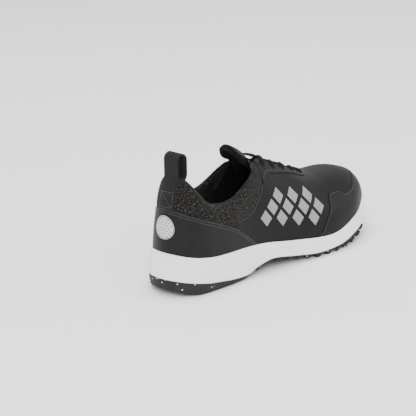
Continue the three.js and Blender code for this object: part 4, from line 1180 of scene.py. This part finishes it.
lace_points = np.array(lace_route(-1)[::-1] + lace_route(1))
lace_path = smooth_path(instep(lace_points[:, 0], lace_points[:, 1], lace_points[:, 2]), 9)
lace = ribbon("lace", lace_path, np.array([[1.0, 0.0, 0.0]]), 4.8, 1.9, lace_weave)
finish_piece(lace, ["lace"], bends="flex")
print("lace:", round(float(np.linalg.norm(np.diff(lace_path, axis=0), axis=1).sum())), "mm in the shoe")

# %% [markdown]
# The eyelets are punched holes with a pressed ring round each. A ring is a small half-round band
# with a dark cup inside it that the lace goes down into.

# %% Eyelet rings
turn = np.linspace(0, 2 * np.pi, 25)[:-1]
RING_SECTION = [(3.5, 1.0), (3.42, 1.4), (3.1, 1.62), (2.75, 1.55), (2.5, 1.25), (2.4, 0.4),
                (1.2, -0.4), (0.02, -0.6)]
eyelet_parts = []
for x in EYELET_STATIONS:
    for side in (-1, 1):
        middle = side * (throat_half(x) + EYELET_INSET)
        rings = [instep(x + r * np.cos(turn), middle + r * np.sin(turn) * 0.93, np.full(24, up))
                 for r, up in RING_SECTION]
        eyelet_parts.append((np.array(rings), faces_of(len(rings), 24, wrap_cols=True), None))
eyelets = make_piece("eyelet_rings", eyelet_parts, guard_leather, weld=0)
finish_piece(eyelets, [], bends="flex")

# %% [markdown]
# ## Pull tab
# A strip of webbing is sewn up the back of the heel, stands above the collar as a loop for one
# finger, and is sewn again inside. Along the heel it bows with the surface, and above the collar it
# straightens. The path is worked out first, then the bow across the strip.

# %% The pull tab
TAB_WIDTH, TAB_THICKNESS = 19.0, 1.5
LEG_OUT, LEG_IN, LOOP_TOP, COLLAR_TOP = 18.0, 29.6, 134.9, 117.0
loop_radius = (LEG_IN - LEG_OUT) / 2
tab_across = np.linspace(-1, 1, 21)


def heel_row(z, y, depth):
    """Station of the heel's surface at a height, for each distance across."""
    c = np.linspace(-0.09, 0.09, 121)
    rise = rise_where(c, lambda p: p[..., 2] - z)
    p = upper(c, rise) + upper_normal(c, rise) * depth
    return np.interp(y, p[::-1, 1], p[::-1, 0])


outer_z = np.linspace(83.5, COLLAR_TOP + 1, 30)
inner_z = np.linspace(COLLAR_TOP + 1, 101.0, 16)
y_row = tab_across * TAB_WIDTH / 2
outer_rows = np.array([heel_row(z, y_row, 1.25) for z in outer_z])
inner_rows = np.array([heel_row(z, y_row, -lining_depth(20.0) - 0.9) for z in inner_z])
straighten_out = ease(outer_z, 104, COLLAR_TOP)[:, None]
outer_rows = outer_rows * (1 - straighten_out) + LEG_OUT * straighten_out
straighten_in = ease(inner_z, 104, COLLAR_TOP)[:, None]
inner_rows = inner_rows * (1 - straighten_in) + LEG_IN * straighten_in
arc = np.linspace(np.pi, 0, 22)
leg_z = np.linspace(COLLAR_TOP + 1.5, LOOP_TOP - loop_radius - 0.3, 7)
rows_x = np.vstack([outer_rows, np.full((7, 21), LEG_OUT),
                    np.repeat(((LEG_OUT + LEG_IN) / 2 + loop_radius * np.cos(arc))[:, None], 21, 1),
                    np.full((7, 21), LEG_IN), inner_rows])
rows_z = np.concatenate([outer_z, leg_z, LOOP_TOP - loop_radius + loop_radius * np.sin(arc),
                         leg_z[::-1], inner_z])
sheet = np.stack([rows_x, np.broadcast_to(y_row, rows_x.shape),
                  np.broadcast_to(rows_z[:, None], rows_x.shape)], -1)
along_tab = np.gradient(sheet, axis=0)
over_tab = np.gradient(sheet, axis=1)
tab_normal = np.cross(over_tab, along_tab)
tab_normal /= np.linalg.norm(tab_normal, axis=-1, keepdims=True)
tab_edge = quarter_round((1 - abs(tab_across)) * TAB_WIDTH / 2, 0.9)[None, :, None]
tab_end = np.ones(len(sheet))
tab_end[[0, -1]] = 0
skin_out = sheet - tab_normal * (TAB_THICKNESS / 2 * tab_edge * tab_end[:, None, None])
skin_in = sheet + tab_normal * (TAB_THICKNESS / 2 * tab_edge * tab_end[:, None, None])
tab_ring = np.concatenate([skin_out, skin_in[:, -2:0:-1]], axis=1)
tab_walk = np.concatenate([[0], np.cumsum(np.linalg.norm(np.diff(sheet[:, 10], axis=0), axis=1))])
tab_map = np.stack(np.broadcast_arrays(np.concatenate([y_row, y_row[-2:0:-1]])[None, :],
                                       tab_walk[:, None]), -1)
tab_faces = faces_of(len(sheet), tab_ring.shape[1], wrap_cols=True)
pull_tab = make_piece("pull_tab_strap", [(tab_ring, tab_faces, tab_map)], webbing)
finish_piece(pull_tab, ["pull_tab_outer_end", "pull_tab_outer_stub", "pull_tab_loop",
                                   "pull_tab_inner_stub", "pull_tab_inner_end"], bends="tab")

# %% [markdown]
# ## Stitching
# Rows of thread hold the panels: two along the heel cap, one along the mesh edge, two beside the
# throat, one inside the toe guard's edge, a crossed box on the pull tab and one along each side of
# the tongue. Every stitch is a small closed bead, pressed into the leather at both ends. A seam is
# given as points and normals along it.

# %% Stitches
STITCH_PITCH, STITCH_LENGTH, STITCH_RADIUS = 2.7, 2.0, 0.3
bead_along = np.array([-0.5, -0.42, -0.2, 0.2, 0.42, 0.5])
bead_size = np.array([0.05, 0.62, 1.0, 1.0, 0.62, 0.05])
bead_turn = np.linspace(0, 2 * np.pi, 7)[:-1]
bead_faces = faces_of(6, 6, wrap_cols=True)


def sew(name, seams, bends=None, body="rearfoot"):
    """Beads at an even pitch along each seam, turned with it and lying on its normal."""
    parts = []
    for points, normals in seams:
        walk = np.concatenate([[0], np.cumsum(np.linalg.norm(np.diff(points, axis=0), axis=1))])
        at = np.arange(STITCH_PITCH / 2, walk[-1], STITCH_PITCH)
        centre = np.stack([np.interp(at, walk, points[:, k]) for k in range(3)], -1)
        ahead = np.stack([np.interp(at + 0.5, walk, points[:, k]) for k in range(3)], -1)
        behind = np.stack([np.interp(at - 0.5, walk, points[:, k]) for k in range(3)], -1)
        normal = np.stack([np.interp(at, walk, normals[:, k]) for k in range(3)], -1)
        tangent = ahead - behind
        tangent /= np.linalg.norm(tangent, axis=1, keepdims=True)
        beside = np.cross(normal, tangent)
        beside /= np.linalg.norm(beside, axis=1, keepdims=True)
        a = (bead_along * STITCH_LENGTH)[:, None] * np.ones(6)
        b = STITCH_RADIUS * bead_size[:, None] * np.cos(bead_turn)
        c = STITCH_RADIUS * (bead_size[:, None] * np.sin(bead_turn) + bead_size[:, None] - 0.75)
        beads = (centre[:, None, None] + tangent[:, None, None] * a[None, ..., None]
                 + beside[:, None, None] * b[None, ..., None]
                 + normal[:, None, None] * c[None, ..., None])
        start = (np.arange(len(at)) * 36)[:, None, None]
        parts.append((beads, (bead_faces[None] + start).reshape(-1, 4), None))
    obj = make_piece(name, parts, thread_material, weld=0)
    return finish_piece(obj, [], body=body, bends=bends)


def seam_at(c, rise, out):
    """Seam points this far out of the upper, with their normals."""
    normal = upper_normal(c, rise)
    return upper(c, rise) + normal * out, normal


CAP_SEAM_GAPS, GUARD_SEAM_GAP = (2.2, 4.8), 2.2  # from the edges of the panels
cap_seams = []
for gap in CAP_SEAM_GAPS:
    c = np.linspace(column(1, 106.0) - 2, column(-1, 106.0), 500)
    rise = rise_where(c, above(heel_cap_top, -gap))
    cap_seams.append(seam_at(c, np.maximum(rise, 0.01), 1.02))
sew("heel_cap_stitching", cap_seams)

mesh_seams = []
for side in (-1, 1):
    c = column(side, np.linspace(80, 121, 160))
    rise = rise_where(c, lambda p: p[..., 2] - mesh_edge(p[..., 0] - 2.0) + 1.4)
    mesh_seams.append(seam_at(c, rise, 0.16))
sew("mesh_edge_stitching", mesh_seams)

guard_c = np.linspace(column(-1, 178.0), column(1, 178.0), 900)
guard_rise = rise_where(guard_c, above(guard_edge, -GUARD_SEAM_GAP))
sew("toe_guard_stitching", [seam_at(guard_c, guard_rise, 0.88)], bends="flex")

throat_seams = []
for side in (-1, 1):
    x = np.linspace(122, 203, 200)
    for width in (EYESTAY_WIDTH - 2.0, 2.0):
        half_width = throat_half(x) + width
        if width > 5:
            half_width = np.minimum(band_half(x) - 2.0, half_width)
        line = instep(x, side * half_width, np.full_like(x, 1.2))
        lower = instep(x, side * half_width, np.full_like(x, 0.2))
        throat_seams.append((line, line - lower))
sew("eyestay_stitching", throat_seams, bends="flex")

BOX_HALF, BOX_LOW, BOX_HIGH = 7.4, 86.0, 100.0
box = [(-BOX_HALF, BOX_LOW), (BOX_HALF, BOX_LOW), (BOX_HALF, BOX_HIGH), (-BOX_HALF, BOX_HIGH),
       (-BOX_HALF, BOX_LOW), (BOX_HALF, BOX_HIGH)]
trace = np.vstack([np.linspace(a, b, 24, endpoint=False) for a, b in zip(box, box[1:])])
depth = np.array([heel_row(z, np.array([y]), 2.02)[0] for y, z in trace])
line = np.stack([depth, trace[:, 0], trace[:, 1]], -1)
sew("tab_stitching", [(line, np.tile([-0.97, 0.0, 0.12], (len(line), 1)))])

tongue_seam_x = np.linspace(100, 150, 90)
tongue_seams = []
for side in (-1, 1):
    beside = side * (tongue_half(tongue_seam_x) - 3.4)
    line = instep(tongue_seam_x, beside, tongue_depth(tongue_seam_x) + 0.42)
    out = instep(tongue_seam_x, side * 8, 1.0) - instep(tongue_seam_x, side * 8, 0.0)
    tongue_seams.append((line, out))
sew("tongue_stitching", tongue_seams, bends="tongue")

# %% [markdown]
# ## The stiffeners
# Three hidden pieces keep their solids: the heel counter, the toe puff and the shank plate. They
# only get their finish.

# %% Finishes of the solids that stay
for name in ("heel_counter", "toe_puff", "shank_plate"):
    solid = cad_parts[name].data
    solid.materials.clear()
    solid.materials.append(inner_plastic_material)
